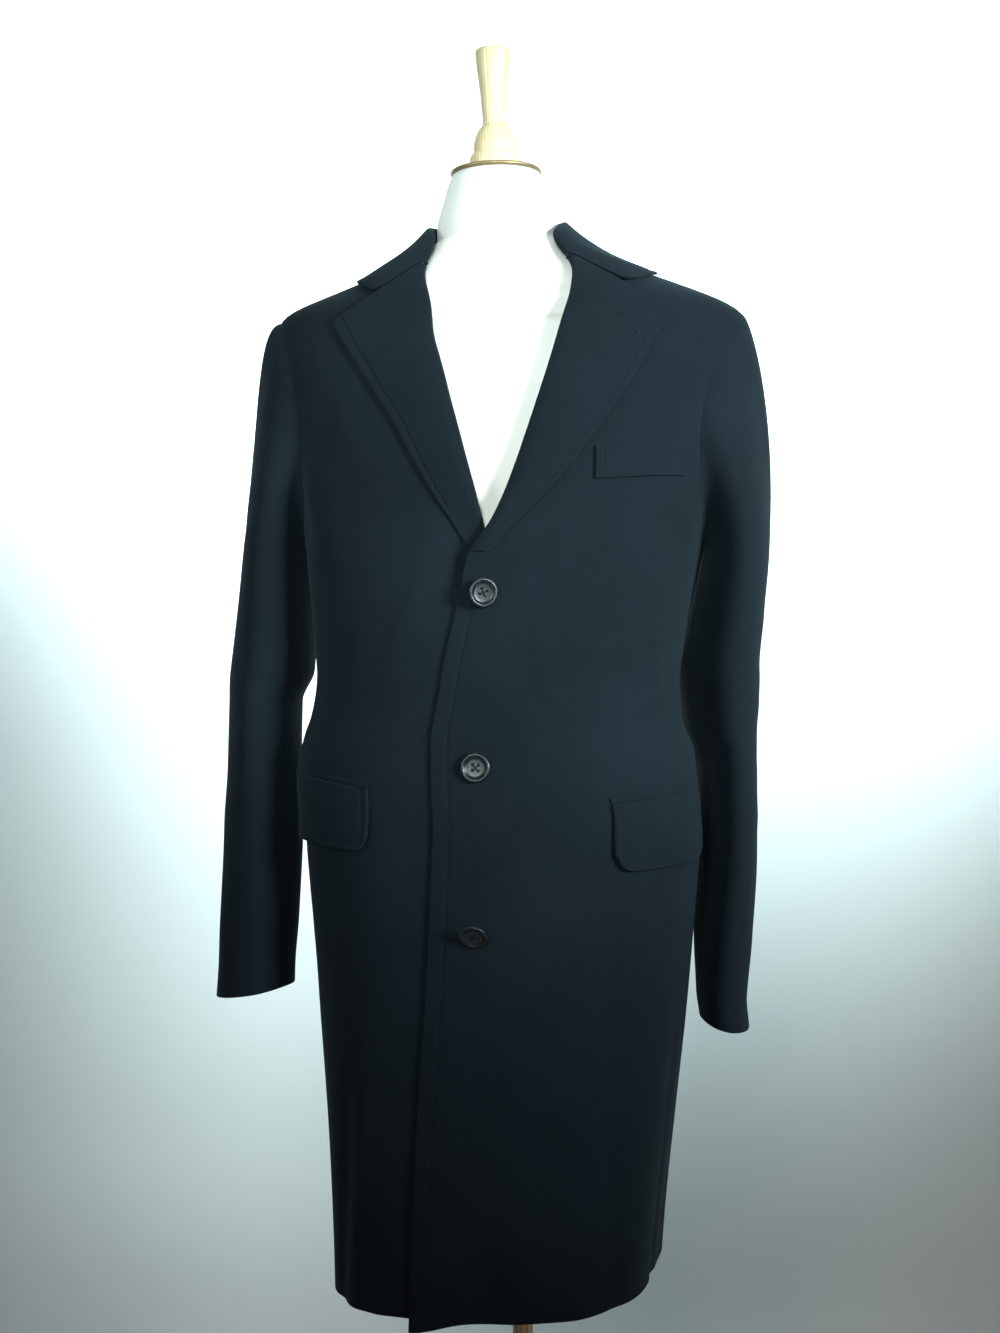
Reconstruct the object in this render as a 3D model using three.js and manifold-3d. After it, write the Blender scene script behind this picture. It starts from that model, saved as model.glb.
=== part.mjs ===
// A single-breasted wool overcoat with notched lapels, resting on a limbless dress form.
// Millimetres, +Z up. The origin is on the floor at the middle of the form's foot, the coat
// faces -Y and the wearer's left side is +X. Angles go round the body in degrees: 0 is the
// centre front, 90 the wearer's left side, -90 the right side and 180 the centre back.

import * as THREE from "three";
import { mergeVertices } from "three/addons/utils/BufferGeometryUtils.js";
import Module from "manifold-3d";

const manifold = await Module();
manifold.setup();

// Driving dimensions of the cloth
const wall = 2.6;
const seamGap = 0.4;
const restGap = 1.1;
const hemHeight = 456;
const hemDip = 1;
const hemSideDip = 4;
const hemTilt = 2.5;
const underarmHeight = 1165;
const shoulderTipHeight = 1397;
const neckSeamHeight = 1462;
const sideSeamAngle = 92;
const armholeFront = 20.5;
const armholeBack = 24;

// Driving dimensions of the front closing
const breakHeight = 1157;
const underLap = 78;
const buttonSize = 28;
const buttonThick = 4.4;

// Driving dimensions of the form
const baseRadius = 180;
const baseThick = 30;
const poleRadius = 10;
const formBottom = 722;
const neckTop = 1540.5;

// The coat's body, a row for each height: half width, middle in x, depth of the front and
// of the back, squareness of the oval, and how far the section falls towards the left side
const bodySections = [
  { z: 440, wide: 152.5, mid: -20, front: 178, back: 183, square: 2.85, tilt: 0 },
  { z: 500, wide: 157, mid: -18, front: 175.5, back: 182, square: 2.7, tilt: 0 },
  { z: 600, wide: 168.5, mid: -15, front: 172, back: 180, square: 2.35, tilt: 0 },
  { z: 700, wide: 181, mid: -12.6, front: 168, back: 178, square: 2.15, tilt: 0 },
  { z: 800, wide: 190, mid: -10, front: 160, back: 173, square: 2.15, tilt: 0 },
  { z: 900, wide: 197.5, mid: -8.5, front: 151, back: 162, square: 2.2, tilt: 0 },
  { z: 933, wide: 198, mid: -11.5, front: 147, back: 156, square: 2.2, tilt: 0 },
  { z: 962, wide: 197.5, mid: -13.5, front: 143.5, back: 149, square: 2.2, tilt: 0 },
  { z: 988, wide: 189, mid: -14.5, front: 141, back: 142, square: 2.2, tilt: 0 },
  { z: 1005, wide: 184.5, mid: -12.5, front: 139.5, back: 138, square: 2.2, tilt: 0 },
  { z: 1035, wide: 181.5, mid: -10, front: 137.5, back: 130, square: 2.2, tilt: 0 },
  { z: 1080, wide: 186, mid: -7, front: 135, back: 126, square: 2.25, tilt: 0 },
  { z: 1140, wide: 194.5, mid: -2.5, front: 134, back: 129, square: 2.3, tilt: 0 },
  { z: 1220, wide: 208, mid: 4, front: 132, back: 134, square: 2.3, tilt: -0.015 },
  { z: 1300, wide: 221, mid: 8, front: 124, back: 132, square: 2.3, tilt: -0.03 },
  { z: 1358, wide: 235, mid: 9, front: 108, back: 118, square: 2.2, tilt: -0.036 },
  { z: 1395, wide: 236, mid: 9, front: 92, back: 104, square: 2.0, tilt: -0.036 },
  { z: 1427, wide: 167, mid: 5, front: 80, back: 88, square: 2.0, tilt: -0.018 },
  { z: 1461, wide: 83.5, mid: 0.5, front: 67, back: 75, square: 2.0, tilt: 0 },
  { z: 1487, wide: 65.5, mid: 0, front: 60, back: 67, square: 2.0, tilt: 0 },
  { z: 1504, wide: 64, mid: 0, front: 58, back: 65, square: 2.0, tilt: 0 },
];

// The largest soft folds of the body. Each ridge runs from one angle at its top to another
// at its foot, and fades out at both ends; a foot below the hem lets it run out of the coat
const bodyFolds = [
  { top: 1270, foot: 1130, topAngle: 64, footAngle: 50, wide: 8, rise: 3.5 },
  { top: 1270, foot: 1130, topAngle: -68, footAngle: -56, wide: 8, rise: 3 },
  { top: 900, foot: 150, topAngle: -52, footAngle: -58, wide: 12, rise: 3.5 },
  { top: 860, foot: 150, topAngle: 54, footAngle: 58, wide: 12, rise: 2.5 },
  { top: 940, foot: 150, topAngle: 148, footAngle: 146, wide: 12, rise: 8 },
  { top: 940, foot: 150, topAngle: -146, footAngle: -150, wide: 12, rise: 8 },
  { top: 880, foot: 150, topAngle: -108, footAngle: -116, wide: 12, rise: 4 },
  { top: 880, foot: 150, topAngle: 110, footAngle: 114, wide: 12, rise: 4 },
];

// A value that goes from 0 to 1 between two limits with no corner at either
function ease(low, high, at) {
  const t = THREE.MathUtils.clamp((at - low) / (high - low), 0, 1);
  return t * t * (3 - 2 * t);
}

// The slope of a smooth curve through a table's column at each row, never past a turn
function slopesOf(table, key, name) {
  const rise = [];
  for (let i = 0; i + 1 < table.length; i += 1) {
    rise.push((table[i + 1][name] - table[i][name]) / (table[i + 1][key] - table[i][key]));
  }
  return table.map((row, i) => {
    if (i === 0) return rise[0];
    if (i === rise.length) return rise[i - 1];
    if (rise[i - 1] * rise[i] <= 0) return 0;
    const before = table[i][key] - table[i - 1][key];
    const after = table[i + 1][key] - table[i][key];
    const near = 2 * after + before;
    const far = after + 2 * before;
    return (near + far) / (near / rise[i - 1] + far / rise[i]);
  });
}

const knownSlopes = new Map();

// Every column of a table at one place along its key, on a smooth curve through the rows
function follow(table, at, key = "z") {
  if (!knownSlopes.has(table)) {
    const names = Object.keys(table[0]).filter((name) => name !== key);
    knownSlopes.set(table, names.map((name) => [name, slopesOf(table, key, name)]));
  }
  let i = 0;
  while (i + 2 < table.length && at > table[i + 1][key]) i += 1;
  const span = table[i + 1][key] - table[i][key];
  const t = THREE.MathUtils.clamp((at - table[i][key]) / span, 0, 1);
  const result = {};
  for (const [name, slopes] of knownSlopes.get(table)) {
    const start = (1 + 2 * t) * (1 - t) ** 2 * table[i][name];
    const end = t * t * (3 - 2 * t) * table[i + 1][name];
    const bend = t * (1 - t) ** 2 * slopes[i] + t * t * (t - 1) * slopes[i + 1];
    result[name] = start + end + span * bend;
  }
  return result;
}

// How far the folds lift the body's surface at an angle and height
function foldRise(angle, z) {
  let rise = 0;
  for (const fold of bodyFolds) {
    const fade = 0.35 * (fold.top - fold.foot);
    const down = (fold.top - z) / (fold.top - fold.foot);
    const middle = THREE.MathUtils.lerp(fold.topAngle, fold.footAngle, THREE.MathUtils.clamp(down, 0, 1));
    const off = ((angle - middle + 540) % 360) - 180;
    const shown = ease(fold.foot, fold.foot + fade, z) * (1 - ease(fold.top - fade, fold.top, z));
    rise += fold.rise * shown * Math.exp(-((off / fold.wide) ** 2));
  }
  return rise;
}

// A point on the coat's outer surface
function coatSurface(angle, z) {
  const row = follow(bodySections, z);
  const turn = THREE.MathUtils.degToRad(angle);
  const across = Math.sin(turn);
  const ahead = Math.cos(turn);
  const depth = ahead > 0 ? row.front : row.back;
  const oval = Math.abs(across / row.wide) ** row.square + Math.abs(ahead / depth) ** row.square;
  const reach = oval ** (-1 / row.square) + foldRise(angle, z);
  const x = row.mid + reach * across;
  return new THREE.Vector3(x, -reach * ahead, z + row.tilt * (x - row.mid));
}

// A point moved out from the coat's surface along its normal, or in for a negative distance
function coatPoint(angle, z, out = 0) {
  const here = coatSurface(angle, z);
  const round = coatSurface(angle + 0.5, z).sub(coatSurface(angle - 0.5, z));
  const up = coatSurface(angle, z + 1).sub(coatSurface(angle, z - 1));
  const normal = round.cross(up).normalize();
  return here.addScaledVector(normal, out);
}

// Lists of evenly spaced numbers, and a grid made by calling a function for each row and column
function spread(from, to, steps) {
  return Array.from({ length: steps + 1 }, (_, i) => from + ((to - from) * i) / steps);
}

function gridOf(rows, columns, place) {
  return rows.map((row) => columns.map((column) => place(row, column)));
}

// The normals of a grid of points, from its neighbours
function gridNormals(grid) {
  return grid.map((row, i) => row.map((_, j) => {
    const below = grid[Math.max(i - 1, 0)][j];
    const above = grid[Math.min(i + 1, grid.length - 1)][j];
    const before = row[Math.max(j - 1, 0)];
    const after = row[Math.min(j + 1, row.length - 1)];
    return after.clone().sub(before).cross(above.clone().sub(below)).normalize();
  }));
}

function geometryFrom(points, faces) {
  const geometry = new THREE.BufferGeometry();
  geometry.setAttribute("position", new THREE.Float32BufferAttribute(points.flatMap((p) => p.toArray()), 3));
  geometry.setIndex(faces.flat());
  return geometry;
}

// Six times the volume that the faces enclose, negative where they point inwards
function signedVolume(points, faces) {
  return faces.reduce((sum, [a, b, c]) => sum + points[a].dot(points[b].clone().cross(points[c])), 0);
}

function outwardGeometry(points, faces) {
  const inward = signedVolume(points, faces) < 0;
  return geometryFrom(points, inward ? faces.map(([a, b, c]) => [a, c, b]) : faces);
}

// A closed wall between two grids of the same size: its two sides and the rim round them
function clothSolid(outer, inner) {
  const rows = outer.length;
  const columns = outer[0].length;
  const points = [...outer.flat(), ...inner.flat()];
  const under = rows * columns;
  const faces = [];
  const quad = (a, b, c, d) => faces.push([a, b, c], [a, c, d]);
  for (let i = 0; i + 1 < rows; i += 1) {
    for (let j = 0; j + 1 < columns; j += 1) {
      const corner = i * columns + j;
      quad(corner, corner + 1, corner + columns + 1, corner + columns);
      quad(under + corner, under + corner + columns, under + corner + columns + 1, under + corner + 1);
    }
  }
  const rim = [];
  for (let j = 0; j < columns; j += 1) rim.push(j);
  for (let i = 1; i < rows; i += 1) rim.push(i * columns + columns - 1);
  for (let j = columns - 2; j >= 0; j -= 1) rim.push((rows - 1) * columns + j);
  for (let i = rows - 2; i > 0; i -= 1) rim.push(i * columns);
  rim.forEach((a, k) => {
    const b = rim[(k + 1) % rim.length];
    quad(a, under + a, under + b, b);
  });
  return outwardGeometry(points, faces);
}

// A solid skinned over closed rings, with a flat cap on the first and the last
function ringSolid(rings) {
  const count = rings[0].length;
  const points = rings.flat();
  const faces = [];
  for (let i = 0; i + 1 < rings.length; i += 1) {
    for (let j = 0; j < count; j += 1) {
      const a = i * count + j;
      const b = i * count + ((j + 1) % count);
      faces.push([a, b, b + count], [a, b + count, a + count]);
    }
  }
  for (const [first, isFoot] of [[0, true], [(rings.length - 1) * count, false]]) {
    const ring = points.slice(first, first + count);
    const middle = ring.reduce((sum, p) => sum.add(p), new THREE.Vector3()).divideScalar(count);
    points.push(middle);
    const hub = points.length - 1;
    for (let j = 0; j < count; j += 1) {
      const a = first + j;
      const b = first + ((j + 1) % count);
      faces.push(isFoot ? [hub, b, a] : [hub, a, b]);
    }
  }
  return outwardGeometry(points, faces);
}

// A turned piece on the Z axis from its radius and height at each step of its outline
function turned(outline, segments = 28) {
  const geometry = new THREE.LatheGeometry(outline.map(([r, z]) => new THREE.Vector2(r, z)), segments);
  geometry.rotateX(Math.PI / 2);
  return geometry;
}

const materials = {
  wool: new THREE.MeshStandardMaterial({ color: 0x1c242c, roughness: 0.95, metalness: 0 }),
  button: new THREE.MeshStandardMaterial({ color: 0x0c0e12, roughness: 0.25, metalness: 0 }),
  formCloth: new THREE.MeshStandardMaterial({ color: 0xefe9dc, roughness: 0.8, metalness: 0 }),
  cap: new THREE.MeshStandardMaterial({ color: 0x8c7a5c, roughness: 0.5, metalness: 0.4 }),
  paleWood: new THREE.MeshStandardMaterial({ color: 0xdcc08a, roughness: 0.5, metalness: 0 }),
  brownWood: new THREE.MeshStandardMaterial({ color: 0x8a5a30, roughness: 0.5, metalness: 0 }),
};

const overcoat = new THREE.Group();

function addPiece(name, geometry, material) {
  const mesh = new THREE.Mesh(geometry, material.clone());
  mesh.name = name;
  overcoat.add(mesh);
  return mesh;
}

// Lapels. Each row gives the place of the roll line and of the lapel's outer edge as an angle
// and a height on the body. The last row is the seam to the collar, which goes on past the
// notch as the lapel's top edge.
const lapelRows = {
  left: [
    { up: 0, rollAngle: -4.2, rollZ: 1158.5, edgeAngle: 1.8, edgeZ: 1158 },
    { up: 1, rollAngle: -1.4, rollZ: 1169, edgeAngle: 6.5, edgeZ: 1164 },
    { up: 2, rollAngle: 3.4, rollZ: 1186, edgeAngle: 13.5, edgeZ: 1182 },
    { up: 3, rollAngle: 8.6, rollZ: 1214, edgeAngle: 24.5, edgeZ: 1211 },
    { up: 4, rollAngle: 12.7, rollZ: 1242, edgeAngle: 34.5, edgeZ: 1243 },
    { up: 5, rollAngle: 18.4, rollZ: 1284, edgeAngle: 45, edgeZ: 1286 },
    { up: 6, rollAngle: 24.9, rollZ: 1327, edgeAngle: 54.6, edgeZ: 1329 },
    { up: 7, rollAngle: 33.2, rollZ: 1372, edgeAngle: 61.5, edgeZ: 1363 },
    { up: 8, rollAngle: 43, rollZ: 1410, edgeAngle: 65.2, edgeZ: 1376 },
    { up: 9, rollAngle: 53.9, rollZ: 1445, edgeAngle: 66.8, edgeZ: 1384 },
  ],
  right: [
    { up: 0, rollAngle: 6.2, rollZ: 1150.5, edgeAngle: -1.5, edgeZ: 1150.5 },
    { up: 1, rollAngle: 3.4, rollZ: 1164, edgeAngle: -5.5, edgeZ: 1163 },
    { up: 2, rollAngle: 0.4, rollZ: 1182, edgeAngle: -11.5, edgeZ: 1184 },
    { up: 3, rollAngle: -3.2, rollZ: 1214, edgeAngle: -21, edgeZ: 1217 },
    { up: 4, rollAngle: -7.6, rollZ: 1245, edgeAngle: -29.6, edgeZ: 1250 },
    { up: 5, rollAngle: -13, rollZ: 1282, edgeAngle: -38, edgeZ: 1285 },
    { up: 6, rollAngle: -20.2, rollZ: 1328, edgeAngle: -50, edgeZ: 1329 },
    { up: 7, rollAngle: -28.6, rollZ: 1368, edgeAngle: -59.5, edgeZ: 1362 },
    { up: 8, rollAngle: -36.6, rollZ: 1408, edgeAngle: -63.4, edgeZ: 1375 },
    { up: 9, rollAngle: -45.2, rollZ: 1443, edgeAngle: -65.4, edgeZ: 1384 },
  ],
};
const notchPlace = { left: { angle: 62.6, z: 1411 }, right: { angle: -58.5, z: 1409 } };
const lapelGap = 1.05;
const lapelTurnIn = 20;
const lapelLift = 3.2;

// The front edge of the left front, and the hidden edge of the right front behind it
const frontEdge = [
  { z: 440, angle: -18 },
  { z: 540, angle: -18 },
  { z: 650, angle: -17 },
  { z: 740, angle: -15.6 },
  { z: 900, angle: -14.8 },
  { z: 980, angle: -14.2 },
  { z: 1052, angle: -11.8 },
  { z: 1101, angle: -8.4 },
  { z: breakHeight, angle: -4.6 },
];

// Angle of a side's roll line at a height, and the degrees that a distance takes up there
function rollAngleAt(side, z) {
  const rows = lapelRows[side];
  let i = 0;
  while (i + 2 < rows.length && z > rows[i + 1].rollZ) i += 1;
  const t = (z - rows[i].rollZ) / (rows[i + 1].rollZ - rows[i].rollZ);
  return THREE.MathUtils.lerp(rows[i].rollAngle, rows[i + 1].rollAngle, t);
}

function degreesFor(distance, angle, z) {
  const perDegree = coatSurface(angle + 0.5, z).distanceTo(coatSurface(angle - 0.5, z));
  return distance / perDegree;
}

// Where a front panel starts: at the front edge, then behind the roll line, then round the neck.
// The right one runs on under the left as far as its own lap, up to the foot of its roll line.
const panelSetback = 7;
const rightLapTop = 1126;
const rightRollFoot = 1149;
const neckSeamEnd = 8;

function frontStart(side, z) {
  const sign = side === "left" ? 1 : -1;
  const edge = follow(frontEdge, Math.min(z, breakHeight)).angle;
  const gorgeZ = lapelRows[side].at(-1).rollZ;
  if (z > gorgeZ) {
    const gorgeAngle = frontStart(side, gorgeZ);
    const neckAngle = sign * (sideSeamAngle - neckSeamEnd);
    return THREE.MathUtils.lerp(gorgeAngle, neckAngle, (z - gorgeZ) / (neckSeamHeight - gorgeZ));
  }
  const roll = rollAngleAt(side, z);
  const rolled = roll + sign * degreesFor(panelSetback, roll, z);
  if (side === "left") return z > breakHeight ? rolled : edge;
  const lapped = edge + degreesFor(underLap, edge, z);
  return THREE.MathUtils.lerp(lapped, rolled, ease(rightLapTop, rightRollFoot, z));
}

// Where a front or back panel ends: side seam, armhole and shoulder seam share one line
function armholeReach(z) {
  const middle = (underarmHeight + shoulderTipHeight) / 2;
  const half = (shoulderTipHeight - underarmHeight) / 2;
  const level = THREE.MathUtils.clamp((z - middle) / half, -1, 1);
  return Math.sqrt(1 - level * level);
}

// A share of the way between the two sides of a panel. Only the columns near the armhole
// give way to it, so that those in the middle of the panel stay straight.
function acrossPanel(start, straightEnd, end, share) {
  return THREE.MathUtils.lerp(start, straightEnd, share) + (end - straightEnd) * share * share;
}

// Heights of the rows of a panel: even down the skirt, closer round the armhole and neck
const skirtRows = spread(hemHeight, 1000, 8);
const waistRows = [1042, 1084, rightLapTop, rightRollFoot, breakHeight, breakHeight + 0.8];
const armholeRows = spread(0, Math.PI, 10).map((turn) => {
  const middle = (underarmHeight + shoulderTipHeight) / 2;
  return middle - ((shoulderTipHeight - underarmHeight) / 2) * Math.cos(turn);
});
const shoulderRows = spread(shoulderTipHeight + 10, neckSeamHeight, 5);
const panelRows = [...skirtRows, ...waistRows, ...armholeRows, ...shoulderRows];

// The hem is a little lower at the front than at the back, and lowest at the right side
function hemmed(angle, z) {
  const turn = THREE.MathUtils.degToRad(angle);
  const share = 1 - ease(hemHeight, hemHeight + 200, z);
  const sideDip = hemSideDip - hemTilt * Math.sin(turn);
  return z - share * (hemDip * Math.cos(turn) + sideDip * Math.sin(turn) ** 2);
}

// How deep a piece of the right side is sunk so that the left front and lapel pass over it
const lapSink = 3.4;
const crossingSink = 11;

function sinkUnderLap(side, angle, z) {
  if (side === "left") return 0;
  const edge = follow(frontEdge, Math.min(z, breakHeight)).angle;
  const crossing = ease(rightLapTop - 30, rightRollFoot - 4, z);
  const covered = 1 - ease(breakHeight + 22, breakHeight + 62, z);
  const depth = THREE.MathUtils.lerp(lapSink, crossingSink, crossing) * covered;
  return depth * ease(edge - 20, edge - 1.5, angle);
}

// A front panel. The hidden lap of the right one only moves the columns next to it.
function frontPanel(side) {
  const sign = side === "left" ? 1 : -1;
  const columns = [0, 0.04, 0.08, 0.125, 0.17, 0.22, 0.28, 0.36, 0.45, 0.55, 0.66, 0.77, 0.885, 1];
  const place = (depth) => (z, share) => {
    const end = sign * (sideSeamAngle - armholeFront * armholeReach(z));
    const seam = degreesFor(seamGap / 2, end, z) * sign;
    const start = frontStart(side, z);
    const plain = side === "right" ? frontStart(side, Math.max(z, rightRollFoot)) : start;
    const angle = acrossPanel(plain, sign * sideSeamAngle - seam, end - seam, share)
      + (start - plain) * (1 - share) ** 3;
    return coatPoint(angle, hemmed(angle, z), -depth - sinkUnderLap(side, angle, z));
  };
  return clothSolid(gridOf(panelRows, columns, place(0)), gridOf(panelRows, columns, place(wall)));
}

addPiece("front_left", frontPanel("left"), materials.wool);
addPiece("front_right", frontPanel("right"), materials.wool);

// Backs. They meet at the centre back, and below the vent's head the right one runs on
// under the left one.
const ventHead = 850;
const ventLap = 42;

function backPanel(side) {
  const sign = side === "left" ? 1 : -1;
  const columns = spread(0, 1, 9);
  const place = (depth) => (z, share) => {
    const start = sign * (sideSeamAngle + armholeBack * armholeReach(z));
    const seam = degreesFor(seamGap / 2, start, z) * sign;
    const right = side === "right" ? 1 : 0;
    const past = degreesFor(ventLap, 180, z) * right * (1 - ease(ventHead - 30, ventHead - 2, z));
    const end = sign * (180 + past - degreesFor(seamGap / 2, 180, z));
    const angle = acrossPanel(end, sign * sideSeamAngle + seam, start + seam, 1 - share);
    const sunk = right * (wall + restGap) * (1 - ease(ventHead, ventHead + 50, z));
    return coatPoint(angle, hemmed(angle, z), -depth - sunk * ease(172, 179, sign * angle));
  };
  const ventRows = [ventHead - 30, ventHead - 2, ventHead + 50];
  const rows = [...panelRows, ...ventRows].sort((a, b) => a - b);
  return clothSolid(gridOf(rows, columns, place(0)), gridOf(rows, columns, place(wall)));
}

addPiece("back_left", backPanel("left"), materials.wool);
addPiece("back_right", backPanel("right"), materials.wool);

// Each lapel is one sheet. Seen across, it starts behind the front, turns round at the roll
// line and lies on the front as far as its outer edge; distances are from the roll line.
function lapelSolid(side) {
  const rows = spread(0, 9, 15);
  const foldTurns = spread(-90, 90, 4).map((degrees) => THREE.MathUtils.degToRad(degrees));
  const faceShares = [0.12, 0.25, 0.4, 0.56, 0.72, 0.87, 1];
  const notch = notchPlace[side];
  const place = (outward) => (up) => {
    const row = follow(lapelRows[side], up, "up");
    const length = coatSurface(row.rollAngle, row.rollZ).distanceTo(coatSurface(row.edgeAngle, row.edgeZ));
    const small = Math.min(1, length / 60);
    const atSeam = ease(7.5, 9, up);
    const at = (distance, out, lift = 0) => {
      const share = distance / length;
      const bow = 2 * share * (1 - share) * atSeam;
      const angle = THREE.MathUtils.lerp(row.rollAngle, row.edgeAngle, share)
        + bow * (notch.angle - (row.rollAngle + row.edgeAngle) / 2);
      const z = THREE.MathUtils.lerp(row.rollZ, row.edgeZ, share)
        + bow * (notch.z - (row.rollZ + row.edgeZ) / 2);
      const sunk = sinkUnderLap(side, angle, z);
      return coatPoint(angle, z, out - sunk + lift * (1 - sunk / crossingSink));
    };
    const radius = wall / 2 + lapelGap + (outward ? wall : 0);
    const middle = lapelGap + 1.5 * wall;
    const turnIn = at(Math.max(lapelTurnIn * small, middle + 1), -wall / 2 - radius);
    const fold = foldTurns.map((turn) => (
      at(middle - radius * Math.cos(turn), -wall / 2 + radius * Math.sin(turn))
    ));
    const face = faceShares.map((share) => {
      const distance = middle + (length - middle) * share;
      return at(distance, -wall / 2 + radius, lapelLift * small * Math.sin(Math.PI * share ** 0.6));
    });
    return [turnIn, ...fold, ...face];
  };
  return clothSolid(rows.map(place(true)), rows.map(place(false)));
}

addPiece("lapel_left", lapelSolid("left"), materials.wool);
addPiece("lapel_right", lapelSolid("right"), materials.wool);

// Collar, a row for each section from the right notch round the neck to the left one: angle
// and height of the roll line, of the fall's outer edge and of the middle of the fall, how
// far that middle stands off the body, and how far down the stand goes
const collarRows = [
  { at: 0, rollAngle: -45.6, rollZ: 1447.5, midAngle: -58.4, midZ: 1413.5, midOut: 5,
    edgeAngle: -67.5, edgeZ: 1423.5, stand: 2 },
  { at: 1, rollAngle: -49, rollZ: 1460, midAngle: -62, midZ: 1432, midOut: 7,
    edgeAngle: -75, edgeZ: 1430, stand: 10 },
  { at: 2, rollAngle: -56, rollZ: 1477, midAngle: -72, midZ: 1449, midOut: 8,
    edgeAngle: -84, edgeZ: 1438, stand: 18 },
  { at: 3, rollAngle: -78, rollZ: 1490, midAngle: -90, midZ: 1461, midOut: 8,
    edgeAngle: -98, edgeZ: 1445, stand: 26 },
  { at: 4, rollAngle: -112, rollZ: 1497, midAngle: -120, midZ: 1469, midOut: 7,
    edgeAngle: -124, edgeZ: 1450, stand: 33 },
  { at: 5, rollAngle: -145, rollZ: 1500, midAngle: -150, midZ: 1473, midOut: 6,
    edgeAngle: -152, edgeZ: 1450, stand: 36 },
  { at: 6, rollAngle: -180, rollZ: 1501, midAngle: -180, midZ: 1474, midOut: 5.5,
    edgeAngle: -180, edgeZ: 1450, stand: 37 },
  { at: 7, rollAngle: -215, rollZ: 1500, midAngle: -210, midZ: 1473, midOut: 6,
    edgeAngle: -208, edgeZ: 1450, stand: 36 },
  { at: 8, rollAngle: -248, rollZ: 1496, midAngle: -240, midZ: 1467, midOut: 7,
    edgeAngle: -236, edgeZ: 1448, stand: 32 },
  { at: 9, rollAngle: -282, rollZ: 1486, midAngle: -270, midZ: 1450, midOut: 4.5,
    edgeAngle: -262, edgeZ: 1438, stand: 22 },
  { at: 10, rollAngle: -300, rollZ: 1473, midAngle: -287, midZ: 1440, midOut: 6,
    edgeAngle: -276.5, edgeZ: 1430, stand: 16 },
  { at: 11, rollAngle: -304, rollZ: 1460, midAngle: -294, midZ: 1431, midOut: 9,
    edgeAngle: -282.5, edgeZ: 1427, stand: 10 },
  { at: 12, rollAngle: -306.2, rollZ: 1449.5, midAngle: -297.9, midZ: 1416, midOut: 7.7,
    edgeAngle: -284.8, edgeZ: 1425, stand: 2 },
];
const collarEdgeOut = wall / 2 + restGap;
const collarRollOut = 2.2;

function collarSolid() {
  const sections = spread(0, collarRows.length - 1, 24);
  const shares = [0, 0.5, 1, 1.3, 1.6, 2, 2.4, 2.8, 3.2, 3.6, 4];
  const middle = sections.map((at) => {
    const row = follow(collarRows, at, "at");
    const guides = [
      coatPoint(row.rollAngle, row.rollZ - row.stand, -wall / 2),
      coatPoint(row.rollAngle, row.rollZ - 4, -wall / 2),
      coatPoint(row.rollAngle, row.rollZ - 2, collarRollOut),
      coatPoint(row.midAngle, row.midZ, row.midOut),
      coatPoint(row.edgeAngle, row.edgeZ, collarEdgeOut),
    ];
    const curve = new THREE.CatmullRomCurve3(guides, false, "centripetal");
    return shares.map((share) => curve.getPoint(share / 4));
  });
  const normals = gridNormals(middle);
  const moved = (by) => middle.map((row, i) => (
    row.map((p, j) => p.clone().addScaledVector(normals[i][j], by))
  ));
  return clothSolid(moved(wall / 2), moved(-wall / 2));
}

addPiece("collar", collarSolid(), materials.wool);

// Sleeves. Each row is a level section of the tube: its middle, half its width across the
// body and half its depth, how far its front edge turns towards the body, and how much the
// section slopes towards the middle.
const sleeveRows = {
  right: [
    { z: 731, x: -261.8, y: -24, wide: 39.5, deep: 56, turn: 14, slope: 0.15 },
    { z: 755, x: -261.1, y: -20, wide: 39, deep: 58, turn: 14, slope: 0.1 },
    { z: 802, x: -259.3, y: -13, wide: 40, deep: 61, turn: 12, slope: 0.04 },
    { z: 895, x: -256.6, y: 0, wide: 40, deep: 67, turn: 10, slope: 0 },
    { z: 957, x: -256.3, y: 7, wide: 37, deep: 71, turn: 9, slope: 0 },
    { z: 1020, x: -256, y: 16, wide: 36.8, deep: 75, turn: 9, slope: 0 },
    { z: 1050, x: -249.7, y: 20, wide: 42.8, deep: 77, turn: 9, slope: 0 },
    { z: 1135, x: -240.8, y: 17, wide: 37, deep: 83, turn: 6, slope: 0 },
  ],
  left: [
    { z: 695, x: 206, y: 24, wide: 24.3, deep: 62, turn: -7, slope: -0.2 },
    { z: 720, x: 203.4, y: 30, wide: 24.7, deep: 63, turn: -9, slope: -0.12 },
    { z: 778, x: 204.4, y: 45, wide: 26.3, deep: 66, turn: -15, slope: -0.04 },
    { z: 866, x: 209.2, y: 58, wide: 24.8, deep: 70, turn: -19, slope: 0 },
    { z: 940, x: 210.4, y: 62, wide: 25.8, deep: 73, turn: -19, slope: 0 },
    { z: 990, x: 205.9, y: 62, wide: 33.4, deep: 76, turn: -19, slope: 0 },
    { z: 1040, x: 206.2, y: 56, wide: 37.8, deep: 79, turn: -18, slope: 0 },
    { z: 1090, x: 214.4, y: 46, wide: 35.4, deep: 83, turn: -15, slope: 0 },
    { z: 1135, x: 223, y: 37, wide: 33.4, deep: 86, turn: -12, slope: 0 },
  ],
};
const sleeveSquare = 1.9;
const sleeveHeadOut = { left: 10, right: 32 };
const sleeveHeadRise = 6;
const sleeveUnderOut = 4.5;
const armholeClear = 0.7;
const armholeInset = 0.15;

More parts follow.
